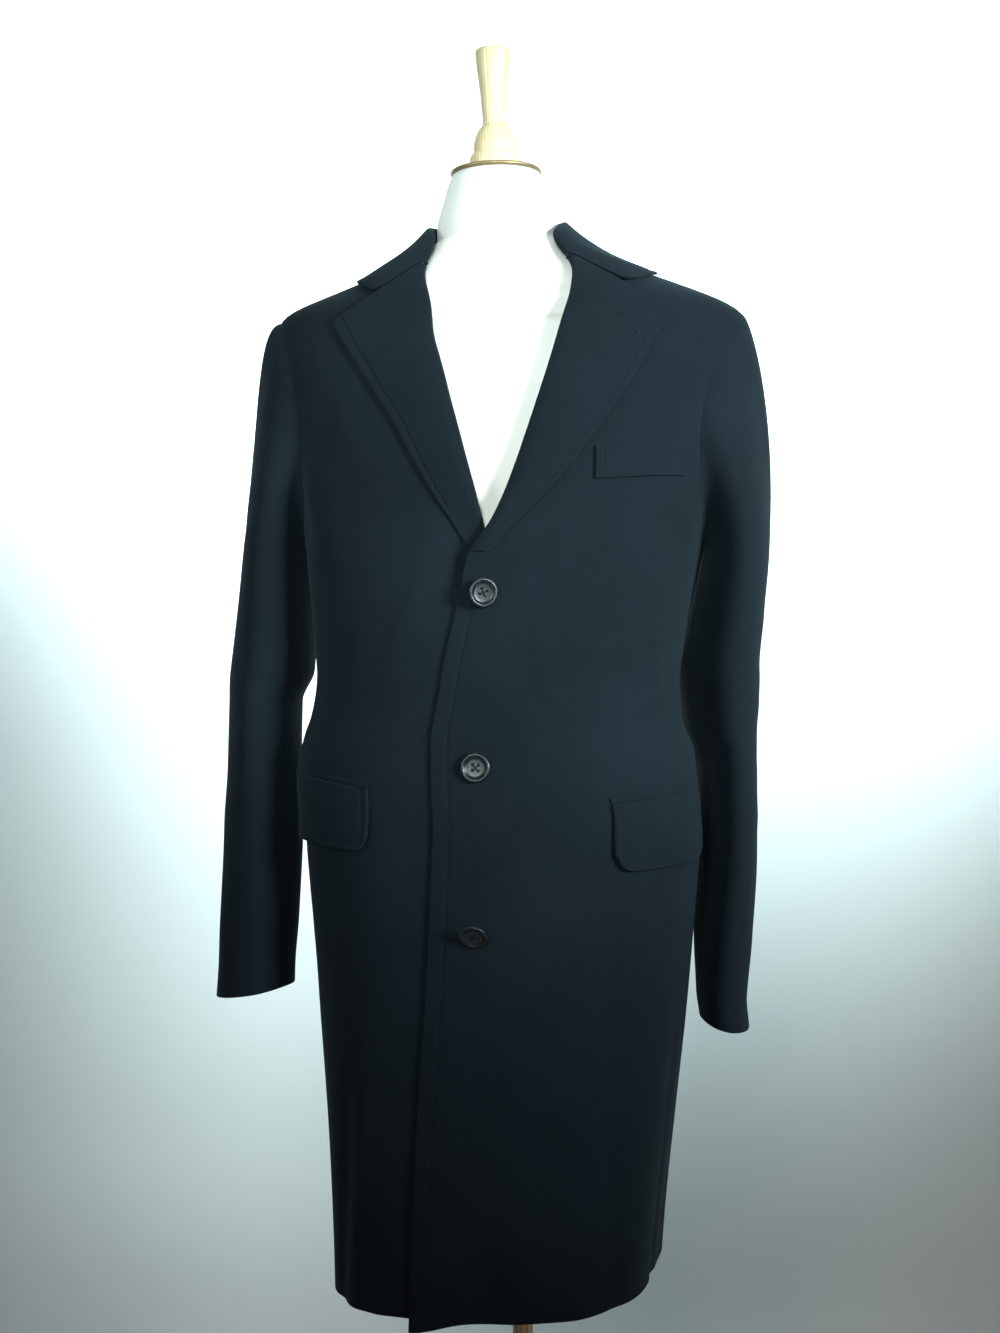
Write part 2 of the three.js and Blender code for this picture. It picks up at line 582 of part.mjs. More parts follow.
// A point on a level section of a sleeve; the turn round it starts at the outer side, and
// 90 is the front, 180 the side at the body and 270 the back
function sleeveSection(side, z, around) {
  const sign = side === "left" ? 1 : -1;
  const row = follow(sleeveRows[side], z);
  const turn = THREE.MathUtils.degToRad(around);
  const c = Math.cos(turn);
  const s = Math.sin(turn);
  const oval = Math.abs(c / row.wide) ** sleeveSquare + Math.abs(s / row.deep) ** sleeveSquare;
  const reach = oval ** (-1 / sleeveSquare);
  const local = new THREE.Vector3(sign * reach * c, -reach * s, 0);
  local.applyAxisAngle(new THREE.Vector3(0, 0, 1), THREE.MathUtils.degToRad(-sign * row.turn));
  return new THREE.Vector3(row.x + local.x, row.y + local.y, z + row.slope * local.x);
}

// A point of the sleeve's seam in the armhole, at the same turn
function armholePoint(side, around) {
  const sign = side === "left" ? 1 : -1;
  const turn = THREE.MathUtils.degToRad(around);
  const middle = (underarmHeight + shoulderTipHeight) / 2;
  const half = (shoulderTipHeight - underarmHeight) / 2 - armholeClear;
  const s = Math.sin(turn);
  const open = (s > 0 ? armholeFront : armholeBack) - armholeInset;
  const angle = sign * (sideSeamAngle - open * s);
  return coatSurface(angle, middle + half * Math.cos(turn));
}

// The head of the sleeve goes from the armhole out over the shoulder and down
function sleeveHead(side, share, around) {
  const sign = side === "left" ? 1 : -1;
  const rows = sleeveRows[side];
  const foot = rows.at(-1).z;
  const start = armholePoint(side, around);
  const end = sleeveSection(side, foot, around);
  const below = sleeveSection(side, foot - 30, around);
  const topness = (1 + Math.cos(THREE.MathUtils.degToRad(around))) / 2;
  const out = THREE.MathUtils.lerp(sleeveUnderOut, sleeveHeadOut[side], topness);
  const leave = start.clone().add(new THREE.Vector3(sign * out, 0, sleeveHeadRise * topness));
  const arrive = end.clone().addScaledVector(end.clone().sub(below), (0.55 * Math.abs(start.z - end.z)) / 30);
  return new THREE.CubicBezierCurve3(start, leave, arrive, end).getPoint(share);
}

function sleeveGrid(side, turns) {
  const rows = sleeveRows[side];
  const headShares = [0, 0.06, 0.16, 0.3, 0.46, 0.63, 0.82];
  const tubeHeights = spread(rows.at(-1).z, rows[0].z, 11);
  return [
    ...gridOf(headShares, turns, (share, around) => sleeveHead(side, share, around)),
    ...gridOf(tubeHeights, turns, (z, around) => sleeveSection(side, z, around)),
  ];
}

// One part of a sleeve, between two turns. Its wall goes in along the tube's own normal, so
// that the two parts stay clear of each other at their seams.
function sleevePart(side, turns) {
  const sign = side === "left" ? 1 : -1;
  const reach = 4;
  const outer = sleeveGrid(side, turns);
  const before = sleeveGrid(side, turns.map((turn) => turn - reach));
  const after = sleeveGrid(side, turns.map((turn) => turn + reach));
  const inner = outer.map((row, i) => row.map((p, j) => {
    const round = after[i][j].clone().sub(before[i][j]);
    const down = outer[Math.min(i + 1, outer.length - 1)][j].clone().sub(outer[Math.max(i - 1, 0)][j]);
    return p.clone().addScaledVector(round.cross(down).normalize(), -sign * wall);
  }));
  return clothSolid(outer, inner);
}

// The turns of the columns are those of the armhole's own rows, so that both edges run alike
const frontSleeveSeam = 126;
const backSleeveSeam = -108;
const sleeveSeamTurn = 0.45;

for (const side of ["left", "right"]) {
  const over = spread(backSleeveSeam + sleeveSeamTurn, frontSleeveSeam - sleeveSeamTurn, 13);
  const under = spread(frontSleeveSeam + sleeveSeamTurn, backSleeveSeam + 360 - sleeveSeamTurn, 7);
  addPiece(`topsleeve_${side}`, sleevePart(side, over), materials.wool);
  addPiece(`undersleeve_${side}`, sleevePart(side, under), materials.wool);
}

// Pieces laid on a front: a patch between two angles, with its top and bottom heights at
// both ends, how far each edge stands off, and the radius of its lower corners
function laidPiece(sizes) {
  const { start, end, topStart, topEnd, footStart, footEnd } = sizes;
  const { outTop, outFoot, corner, columns, rows, thick } = sizes;
  const ends = [0, 0.03, 0.08, 0.16];
  const shares = corner > 0
    ? [...ends, ...spread(0.26, 0.74, columns), ...ends.toReversed().map((share) => 1 - share)]
    : spread(0, 1, columns);
  const length = coatSurface(start, topStart).distanceTo(coatSurface(end, topEnd));
  const place = (more) => (down, share) => {
    const angle = THREE.MathUtils.lerp(start, end, share);
    const near = Math.min(share, 1 - share) * length;
    const cut = near < corner ? corner - Math.sqrt(corner ** 2 - (corner - near) ** 2) : 0;
    const top = THREE.MathUtils.lerp(topStart, topEnd, share);
    const foot = THREE.MathUtils.lerp(footStart, footEnd, share) + cut;
    const out = THREE.MathUtils.lerp(outTop, outFoot, down);
    return coatPoint(angle, THREE.MathUtils.lerp(top, foot, down), out + more);
  };
  const downs = spread(0, 1, rows);
  return clothSolid(gridOf(downs, shares, place(thick)), gridOf(downs, shares, place(0)));
}

const flapThick = 3;
const jetThick = 1.6;
const jetHigh = 5.5;
const jetGap = 0.45;
const pockets = {
  right: { start: -38, end: -82, topStart: 938, topEnd: 954, footStart: 879, footEnd: 889 },
  left: { start: 46, end: 81, topStart: 920, topEnd: 928, footStart: 858, footEnd: 862 },
};

for (const side of ["left", "right"]) {
  const pocket = pockets[side];
  addPiece(`flap_${side}`, laidPiece({
    ...pocket, outTop: jetGap, outFoot: 4.5, corner: 15, columns: 5, rows: 4, thick: flapThick,
  }), materials.wool);
  addPiece(`jet_${side}`, laidPiece({
    ...pocket,
    topStart: pocket.topStart + seamGap + jetHigh,
    topEnd: pocket.topEnd + seamGap + jetHigh,
    footStart: pocket.topStart + seamGap,
    footEnd: pocket.topEnd + seamGap,
    outTop: jetGap, outFoot: jetGap, corner: 0, columns: 10, rows: 1, thick: jetThick,
  }), materials.wool);
}

addPiece("breast_welt", laidPiece({
  start: 40.8, end: 66.4, topStart: 1255, topEnd: 1261, footStart: 1224, footEnd: 1229,
  outTop: restGap, outFoot: restGap, corner: 0, columns: 8, rows: 2, thick: wall,
}), materials.wool);

// Buttons: turned discs with a rim and a dished face, drilled for the thread
function asSolid(geometry) {
  const bare = geometry.clone();
  bare.deleteAttribute("normal");
  bare.deleteAttribute("uv");
  const merged = mergeVertices(bare, 1e-4);
  const index = Array.from(merged.index.array);
  const kept = [];
  for (let i = 0; i < index.length; i += 3) {
    const [a, b, c] = index.slice(i, i + 3);
    if (a !== b && b !== c && a !== c) kept.push(a, b, c);
  }
  return new manifold.Manifold(new manifold.Mesh({
    numProp: 3,
    vertProperties: new Float32Array(merged.attributes.position.array),
    triVerts: new Uint32Array(kept),
  }));
}

function fromSolid(solid) {
  const mesh = solid.getMesh();
  const geometry = new THREE.BufferGeometry();
  geometry.setAttribute("position", new THREE.BufferAttribute(mesh.vertProperties, 3));
  geometry.setIndex(new THREE.BufferAttribute(mesh.triVerts, 1));
  return geometry;
}

const buttonOutline = [
  [0, 0], [0.7, 0], [0.94, 0.3], [1, 0.6], [0.95, 0.93], [0.84, 1], [0.74, 0.86], [0.62, 0.55], [0, 0.5],
].map(([out, up]) => [out * buttonSize / 2, up * buttonThick]);
const holeRadius = 1.15;
const holeSpacing = 2.7;

function buttonGeometry() {
  let solid = asSolid(turned(buttonOutline, 20));
  for (const x of [-1, 1]) {
    for (const y of [-1, 1]) {
      const drill = new THREE.CylinderGeometry(holeRadius, holeRadius, 3 * buttonThick, 8);
      drill.rotateX(Math.PI / 2);
      drill.translate(x * holeSpacing, y * holeSpacing, 0);
      solid = solid.subtract(asSolid(drill));
    }
  }
  return fromSolid(solid);
}

// Each button's place, and how far its face is tipped down and to the side on its shank
const buttonGap = 0.4;
const buttons = [
  { angle: 2.7, z: 1119, down: 6, aside: 24 },
  { angle: 2.4, z: 957, down: 4, aside: 4 },
  { angle: 0.8, z: 805, down: 42, aside: -6 },
];

buttons.forEach(({ angle, z, down, aside }, i) => {
  const mesh = addPiece(`button_${i + 1}`, buttonGeometry(), materials.button);
  const flat = coatSurface(angle, z);
  const normal = coatPoint(angle, z, 1).sub(flat);
  const tipped = normal.clone();
  tipped.applyAxisAngle(new THREE.Vector3(1, 0, 0), THREE.MathUtils.degToRad(down));
  tipped.applyAxisAngle(new THREE.Vector3(0, 0, 1), THREE.MathUtils.degToRad(aside));
  const lean = normal.angleTo(tipped);
  const depths = buttonOutline.map(([out, up]) => out * Math.sin(lean) - up * Math.cos(lean));
  const standOff = buttonGap + Math.max(...depths);
  mesh.quaternion.setFromUnitVectors(new THREE.Vector3(0, 0, 1), tipped);
  mesh.position.copy(flat.addScaledVector(normal, standOff));
});

// The form: level ovals from the hips to the neck, clear inside the coat. The coat hangs on
// its shoulders, so they follow the coat's shoulder lines, less the wall.
const seatGap = 0.9;
const formInset = 11;
const bustSections = [
  { z: formBottom, wide: 128, front: 84, back: 92, square: 2.2 },
  { z: formBottom + 8, wide: 146, front: 96, back: 106, square: 2.2 },
  { z: formBottom + 40, wide: 163, front: 106, back: 117, square: 2.2 },
  { z: 830, wide: 168, front: 110, back: 120, square: 2.2 },
  { z: 900, wide: 169, front: 111, back: 121, square: 2.2 },
  { z: 1000, wide: 155, front: 109, back: 107, square: 2.2 },
  { z: 1070, wide: 147, front: 106, back: 97, square: 2.2 },
  { z: 1160, wide: 163, front: 112, back: 104, square: 2.3 },
  { z: 1240, wide: 180, front: 115, back: 111, square: 2.3 },
  { z: 1310, wide: 194, front: 106, back: 110, square: 2.3 },
  { z: 1355, wide: 200, front: 92, back: 100, square: 2.2 },
  { z: 1384, wide: 204, front: 80, back: 90, square: 2.0 },
];
const shoulderHeights = [1400, 1412, 1424, 1436, 1448, 1458];
const neckSections = [
  { z: 1474, wide: 62, front: 56.5, back: 61, square: 2.0 },
  { z: 1492, wide: 60, front: 54.5, back: 58, square: 2.0 },
  { z: 1516, wide: 53, front: 51, back: 51, square: 2.0 },
  { z: neckTop - 4, wide: 46, front: 45.5, back: 45.5, square: 2.0 },
  { z: neckTop, wide: 43.5, front: 43, back: 43, square: 2.0 },
];

// Both shoulder lines of the coat's inner side, as how far out they are at each height
const shoulderLines = [-90, 90].map((angle) => spread(1395, 1480, 17).map((z) => {
  const seat = coatPoint(angle, z, -wall - seatGap);
  return { z: seat.z, out: Math.abs(seat.x) };
}));

const shoulderSections = shoulderHeights.map((z) => {
  const wide = Math.min(...shoulderLines.map((line) => follow(line, z).out));
  const row = follow(bodySections, z);
  return { z, wide, front: row.front - formInset, back: row.back - formInset, square: 2.0 };
});
const formSections = [...bustSections, ...shoulderSections, ...neckSections];

const formRings = formSections.map((row) => spread(0, 360, 28).slice(0, -1).map((around) => {
  const turn = THREE.MathUtils.degToRad(around);
  const across = Math.sin(turn);
  const ahead = Math.cos(turn);
  const depth = ahead > 0 ? row.front : row.back;
  const oval = Math.abs(across / row.wide) ** row.square + Math.abs(ahead / depth) ** row.square;
  const reach = oval ** (-1 / row.square);
  return new THREE.Vector3(reach * across, -reach * ahead, row.z);
}));

addPiece("form_torso", ringSolid(formRings), materials.formCloth);

// Neck cap, the finial with its ring, dome and tapered handle, the pole and the foot
const capTop = neckTop + 4.3;
addPiece("neck_cap", turned([
  [0, neckTop + 0.3], [44.5, neckTop + 0.3], [46, neckTop + 1.8], [45, capTop], [0, capTop],
]), materials.cap);

const finialFoot = capTop + 0.3;
addPiece("finial", turned([
  [0, finialFoot], [25, finialFoot], [26.5, finialFoot + 3], [26.5, finialFoot + 12], [24.5, finialFoot + 16],
  [22.5, finialFoot + 18], [22.5, finialFoot + 24], [20, finialFoot + 34], [16, finialFoot + 42],
  [12.6, finialFoot + 46], [12.4, finialFoot + 50], [13.5, finialFoot + 66], [15.4, finialFoot + 88],
  [18.2, finialFoot + 114], [18.4, finialFoot + 119], [16.4, finialFoot + 121.5], [0, finialFoot + 122],
], 20), materials.paleWood);

const socketDepth = 18;
addPiece("pole", turned([
  [0, baseThick - socketDepth + 0.3], [poleRadius, baseThick - socketDepth + 0.3],
  [poleRadius, formBottom - 0.4], [0, formBottom - 0.4],
], 20), materials.brownWood);

addPiece("base", turned([
  [0, 0], [baseRadius - 3, 0], [baseRadius, 3], [baseRadius, baseThick - 14], [baseRadius - 5, baseThick - 9],
  [baseRadius - 20, baseThick - 6], [poleRadius + 22, baseThick - 3], [poleRadius + 16, baseThick],
  [poleRadius + 0.35, baseThick], [poleRadius + 0.35, baseThick - socketDepth], [0, baseThick - socketDepth],
], 32), materials.brownWood);

export default overcoat;
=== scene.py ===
"""A wool overcoat on a limbless dress form: how it looks.

Metres, +Z up. The coat faces -Y and its left side is +X. Angles go round the body in degrees:
0 is the centre front, 90 the coat's left side, -90 its right side and 180 the centre back.
"""

import bpy
import numpy as np
from mathutils import Matrix, Vector


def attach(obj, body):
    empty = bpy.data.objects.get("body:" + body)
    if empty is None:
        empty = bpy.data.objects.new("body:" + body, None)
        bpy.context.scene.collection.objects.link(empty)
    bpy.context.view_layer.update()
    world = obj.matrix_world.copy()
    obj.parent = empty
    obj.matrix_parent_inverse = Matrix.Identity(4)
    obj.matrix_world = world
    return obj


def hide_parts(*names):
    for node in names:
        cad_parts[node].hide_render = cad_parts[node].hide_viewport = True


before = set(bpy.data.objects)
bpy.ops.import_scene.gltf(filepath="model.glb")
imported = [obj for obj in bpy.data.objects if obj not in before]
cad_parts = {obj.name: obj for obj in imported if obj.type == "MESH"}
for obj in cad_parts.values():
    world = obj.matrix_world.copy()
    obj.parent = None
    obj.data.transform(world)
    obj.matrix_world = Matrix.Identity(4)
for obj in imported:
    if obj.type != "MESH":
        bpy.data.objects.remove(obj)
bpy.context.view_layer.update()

# The camera. It stands a little to the coat's left, level with the waist, and is rolled a
# little. At the coat's distance one pixel of the photograph is one millimetre.
VIEW_TURN = np.radians(10.0)
VIEW_ROLL = np.radians(1.33)
VIEW_DISTANCE = 1.85
VIEW_HEIGHT = 1.05
VIEW_ASIDE = -0.0075
FRAME_HEIGHT = 1.333

away = Vector((np.sin(VIEW_TURN), -np.cos(VIEW_TURN), 0))
across = Vector((np.cos(VIEW_TURN), np.sin(VIEW_TURN), 0))
upward = Vector((0, 0, 1))
lens_right = across * np.cos(VIEW_ROLL) - upward * np.sin(VIEW_ROLL)
lens_up = across * np.sin(VIEW_ROLL) + upward * np.cos(VIEW_ROLL)

camera = bpy.data.objects.new("camera", bpy.data.cameras.new("camera"))
camera.data.sensor_fit = "VERTICAL"
camera.data.sensor_height = 36
camera.data.lens = 36 * VIEW_DISTANCE / FRAME_HEIGHT
camera.data.clip_end = 20
place = away * VIEW_DISTANCE + upward * VIEW_HEIGHT + lens_right * VIEW_ASIDE
turn = Matrix((lens_right, lens_up, away)).transposed()
camera.matrix_world = Matrix.Translation(place) @ turn.to_4x4()
bpy.context.scene.collection.objects.link(camera)
bpy.context.scene.camera = camera

# The studio: a pale floor that sweeps up into a wall behind the form, and soft lamps high up,
# so that the light falls off towards the hem.
SWEEP_BEHIND = 1.0
SWEEP_RADIUS = 0.35
STAGE_HALF_WIDTH = 4.0
WALL_HEIGHT = 3.6


def mesh_object(name, points, faces):
    """An object with its place in its mesh, from arrays of points and of four-cornered faces."""
    mesh = bpy.data.meshes.new(name)
    mesh.from_pydata(points.reshape(-1, 3).tolist(), [], faces.tolist())
    mesh.validate()
    made = bpy.data.objects.new(name, mesh)
    bpy.context.scene.collection.objects.link(made)
    return made


def grid_faces(rows, columns, closed=False):
    """Quads between neighbours of a grid; closed joins the last column to the first."""
    i, j = np.meshgrid(np.arange(rows - 1), np.arange(columns if closed else columns - 1), indexing="ij")
    beside = (j + 1) % columns
    corners = [i * columns + j, i * columns + beside, (i + 1) * columns + beside, (i + 1) * columns + j]
    return np.stack(corners, -1).reshape(-1, 4)


def material(name, roughness, **sockets):
    """A material with a Principled shader, its constants set on the shader's own sockets."""
    made = bpy.data.materials.new(name)
    made.use_nodes = True
    shader = made.node_tree.nodes["Principled BSDF"]
    shader.inputs["Roughness"].default_value = roughness
    for socket, value in sockets.items():
        shader.inputs[socket.replace("_", " ")].default_value = value
    return made


def mapped(made, space, **sockets):
    """Object or UV coordinates, and with sockets given, drawn out or turned by them."""
    nodes, links = made.node_tree.nodes, made.node_tree.links
    place_on = nodes.new("ShaderNodeTexCoord").outputs[space]
    if not sockets:
        return place_on
    mapping = nodes.new("ShaderNodeMapping")
    for socket, value in sockets.items():
        mapping.inputs[socket].default_value = value
    links.new(place_on, mapping.inputs["Vector"])
    return mapping.outputs["Vector"]


def texture(made, kind, vector, **sockets):
    """The grey value of a noise or wave over coordinates."""
    pattern = made.node_tree.nodes.new("ShaderNodeTex" + kind)
    for socket, value in sockets.items():
        pattern.inputs[socket.replace("_", " ")].default_value = value
    made.node_tree.links.new(vector, pattern.inputs["Vector"])
    return pattern.outputs["Fac"]


def mixed(made, share, first, second):
    """Two grey values, the second one by its share."""
    mix = made.node_tree.nodes.new("ShaderNodeMix")
    mix.inputs["Factor"].default_value = share
    made.node_tree.links.new(first, mix.inputs["A"])
    made.node_tree.links.new(second, mix.inputs["B"])
    return mix.outputs["Result"]


def coloured(made, grey, low, high, start=0.0, stop=1.0):
    """The shader's colour goes from low to high as a grey value goes from start to stop."""
    nodes, links = made.node_tree.nodes, made.node_tree.links
    ramp = nodes.new("ShaderNodeValToRGB")
    first, last = ramp.color_ramp.elements
    first.position, first.color = start, (*low, 1)
    last.position, last.color = stop, (*high, 1)
    links.new(grey, ramp.inputs["Fac"])
    links.new(ramp.outputs["Color"], nodes["Principled BSDF"].inputs["Base Color"])


def roughened(made, grey, low, high):
    """The shader's roughness goes from low to high with a grey value."""
    nodes, links = made.node_tree.nodes, made.node_tree.links
    rough = nodes.new("ShaderNodeMapRange")
    rough.inputs["To Min"].default_value = low
    rough.inputs["To Max"].default_value = high
    links.new(grey, rough.inputs["Value"])
    links.new(rough.outputs["Result"], nodes["Principled BSDF"].inputs["Roughness"])


def raised(made, grey, strength, distance):
    """Relief too fine for the mesh, from a grey value."""
    nodes, links = made.node_tree.nodes, made.node_tree.links
    bump = nodes.new("ShaderNodeBump")
    bump.inputs["Strength"].default_value = strength
    bump.inputs["Distance"].default_value = distance
    links.new(grey, bump.inputs["Height"])
    links.new(bump.outputs["Normal"], nodes["Principled BSDF"].inputs["Normal"])


def stage_paint():
    """Plain matt paint with a faint unevenness. From behind it is clear, so that the coat's
    back can be looked at past the wall."""
    paint = material("stage_paint", 0.9)
    nodes, links = paint.node_tree.nodes, paint.node_tree.links
    uneven = texture(paint, "Noise", mapped(paint, "Object"), Scale=2.5)
    coloured(paint, uneven, (0.70, 0.72, 0.72), (0.76, 0.78, 0.78))
    facing = nodes.new("ShaderNodeNewGeometry")
    clear = nodes.new("ShaderNodeBsdfTransparent")
    chosen = nodes.new("ShaderNodeMixShader")
    links.new(facing.outputs["Backfacing"], chosen.inputs["Fac"])
    links.new(nodes["Principled BSDF"].outputs["BSDF"], chosen.inputs[1])
    links.new(clear.outputs["BSDF"], chosen.inputs[2])
    links.new(chosen.outputs["Shader"], nodes["Material Output"].inputs["Surface"])
    return paint


bend = np.radians(np.linspace(0, 90, 16))
sweep_y = np.concatenate([[-4.0], SWEEP_BEHIND - SWEEP_RADIUS + SWEEP_RADIUS * np.sin(bend), [SWEEP_BEHIND]])
sweep_z = np.concatenate([[0.0], SWEEP_RADIUS - SWEEP_RADIUS * np.cos(bend), [WALL_HEIGHT]])
sweep_x = np.array([-STAGE_HALF_WIDTH, STAGE_HALF_WIDTH])
sweep = np.stack(np.broadcast_arrays(sweep_x[None, :], sweep_y[:, None], sweep_z[:, None]), -1)
backdrop = mesh_object("backdrop", sweep, grid_faces(len(sweep_y), 2))
backdrop.data.materials.append(stage_paint())
backdrop.data.shade_smooth()


def lamp(name, at, aim, size, power, colour, spread):
    """A square soft lamp that faces a point, its light kept within a spread in degrees."""
    light = bpy.data.lights.new(name, "AREA")
    light.size = size
    light.energy = power
    light.color = colour
    light.spread = np.radians(spread)
    made = bpy.data.objects.new(name, light)
    facing = (Vector(aim) - Vector(at)).to_track_quat("-Z", "Y")
    made.matrix_world = Matrix.Translation(at) @ facing.to_matrix().to_4x4()
    bpy.context.scene.collection.objects.link(made)
    return made


lamp("key_lamp", (1.7, -1.2, 1.45), (0.20, 0.0, 1.26), 0.7, 10.6, (0.80, 0.99, 1.0), 40)
lamp("front_lamp", (0.10, -1.95, 1.45), (0.0, 0.0, 1.30), 0.7, 3.1, (0.80, 0.99, 1.0), 42)
lamp("fill_lamp", (-1.5, -1.4, 1.60), (-0.14, 0.0, 1.34), 0.7, 1.6, (0.80, 0.99, 1.0), 42)
lamp("top_lamp", (0.0, 0.1, 2.9), (0.0, 0.0, 1.40), 0.8, 1.4, (0.80, 0.99, 1.0), 40)
lamp("right_wall_lamp", (1.5, 0.0, 1.95), (0.30, 1.0, 1.66), 0.8, 20.0, (0.80, 1.0, 0.99), 64)
lamp("left_wall_lamp", (-1.5, 0.0, 1.95), (-0.30, 1.0, 1.80), 0.8, 11.2, (0.80, 1.0, 0.99), 62)
lamp("floor_lamp", (0.0, -2.4, 1.9), (0.0, 0.75, 0.0), 0.8, 1.0, (1.0, 0.66, 0.44), 55)

world = bpy.data.worlds.new("studio")
world.use_nodes = True
world.node_tree.nodes["Background"].inputs["Color"].default_value = (0.80, 0.90, 1.0, 1)
world.node_tree.nodes["Background"].inputs["Strength"].default_value = 0.13
bpy.context.scene.world = world
bpy.context.scene.view_settings.view_transform = "Standard"

# The foot: a heavy turned disc of brown wood that the pole is let into. It stands on the floor
# outside the photograph's frame.
BASE_RADIUS = 0.180
BASE_THICK = 0.030
POLE_RADIUS = 0.010
SOCKET_DEPTH = 0.018
POLE_GAP = 0.00035


def revolved(name, outline, around):
    """A closed piece from the first to the last place of an outline, both on the Z axis: each
    of its other radii is swung round in even steps."""
    radius, height = np.array(outline[1:-1], float).T
    turns = np.linspace(0, 2 * np.pi, around, endpoint=False)
    rings = np.stack(np.broadcast_arrays(
        radius[:, None] * np.cos(turns), radius[:, None] * np.sin(turns), height[:, None]), -1)
    poles = [[0, 0, outline[0][1]], [0, 0, outline[-1][1]]]
    points = np.concatenate([rings.reshape(-1, 3), poles])
    first, beside = np.arange(around), (np.arange(around) + 1) % around
    last = (len(radius) - 1) * around
    fans = np.concatenate([
        np.stack([np.full(around, len(points) - 2), beside, first], -1),
        np.stack([np.full(around, len(points) - 1), last + first, last + beside], -1)])
    mesh = bpy.data.meshes.new(name)
    faces = grid_faces(len(radius), around, closed=True).tolist() + fans.tolist()
    mesh.from_pydata(points.tolist(), [], faces)
    made = bpy.data.objects.new(name, mesh)
    bpy.context.scene.collection.objects.link(made)
    mesh.shade_smooth()
    return made


def turned(name, outline, around=112):
    """A piece turned on a lathe, its sharper edges broken by a small round."""
    piece = revolved(name, outline, around)
    edge = piece.modifiers.new("edge", "BEVEL")
    edge.width = 0.0006
    edge.segments = 2
    edge.limit_method = "ANGLE"
    edge.angle_limit = np.radians(32)
    return piece


def wood(name, pale, dark, grain, coat):
    """Turned wood: rings of the tree cut along their length, as noise drawn out along Z and
    bands bent by it, with fine pores in the surface under a satin varnish."""
    made = material(name, 0.42, Coat_Weight=coat, Coat_Roughness=0.22)
    drawn = mapped(made, "Object", Scale=(1.0, 1.0, 0.08))
    bands = texture(made, "Wave", drawn, Scale=grain, Distortion=5.0, Detail=3.0, Detail_Scale=1.6)
    pores = texture(made, "Noise", drawn, Scale=900.0, Detail=4.0)
    coloured(made, mixed(made, 0.3, bands, pores), dark, pale, 0.25, 0.75)
    raised(made, pores, 0.12, 0.0004)
    return made


def finished(piece, node, paint):
    """A hard piece in its material, standing for its solid."""
    piece.data.materials.append(paint)
    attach(piece, "root")
    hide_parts(node)


brown_wood = wood("brown_wood", (0.34, 0.17, 0.07), (0.20, 0.09, 0.035), 60.0, 0.35)

SOCKET_RADIUS = POLE_RADIUS + POLE_GAP
foot = turned("foot", [
    (0, 0), (BASE_RADIUS - 0.003, 0), (BASE_RADIUS, 0.003), (BASE_RADIUS, BASE_THICK - 0.014),
    (BASE_RADIUS - 0.0015, BASE_THICK - 0.0115), (BASE_RADIUS - 0.005, BASE_THICK - 0.009),
    (BASE_RADIUS - 0.020, BASE_THICK - 0.006), (POLE_RADIUS + 0.022, BASE_THICK - 0.003),
    (POLE_RADIUS + 0.016, BASE_THICK), (SOCKET_RADIUS, BASE_THICK),
    (SOCKET_RADIUS, BASE_THICK - SOCKET_DEPTH), (0, BASE_THICK - SOCKET_DEPTH),
])
finished(foot, "base", brown_wood)

# The pole: a straight turned rod of the same wood, from its socket in the foot up to the
# underside of the torso.
FORM_BOTTOM = 0.722

rod = turned("rod", [
    (0, BASE_THICK - SOCKET_DEPTH + 0.0003), (POLE_RADIUS, BASE_THICK - SOCKET_DEPTH + 0.0003),
    (POLE_RADIUS, FORM_BOTTOM - 0.0004), (0, FORM_BOTTOM - 0.0004),
], around=48)
finished(rod, "pole", brown_wood)

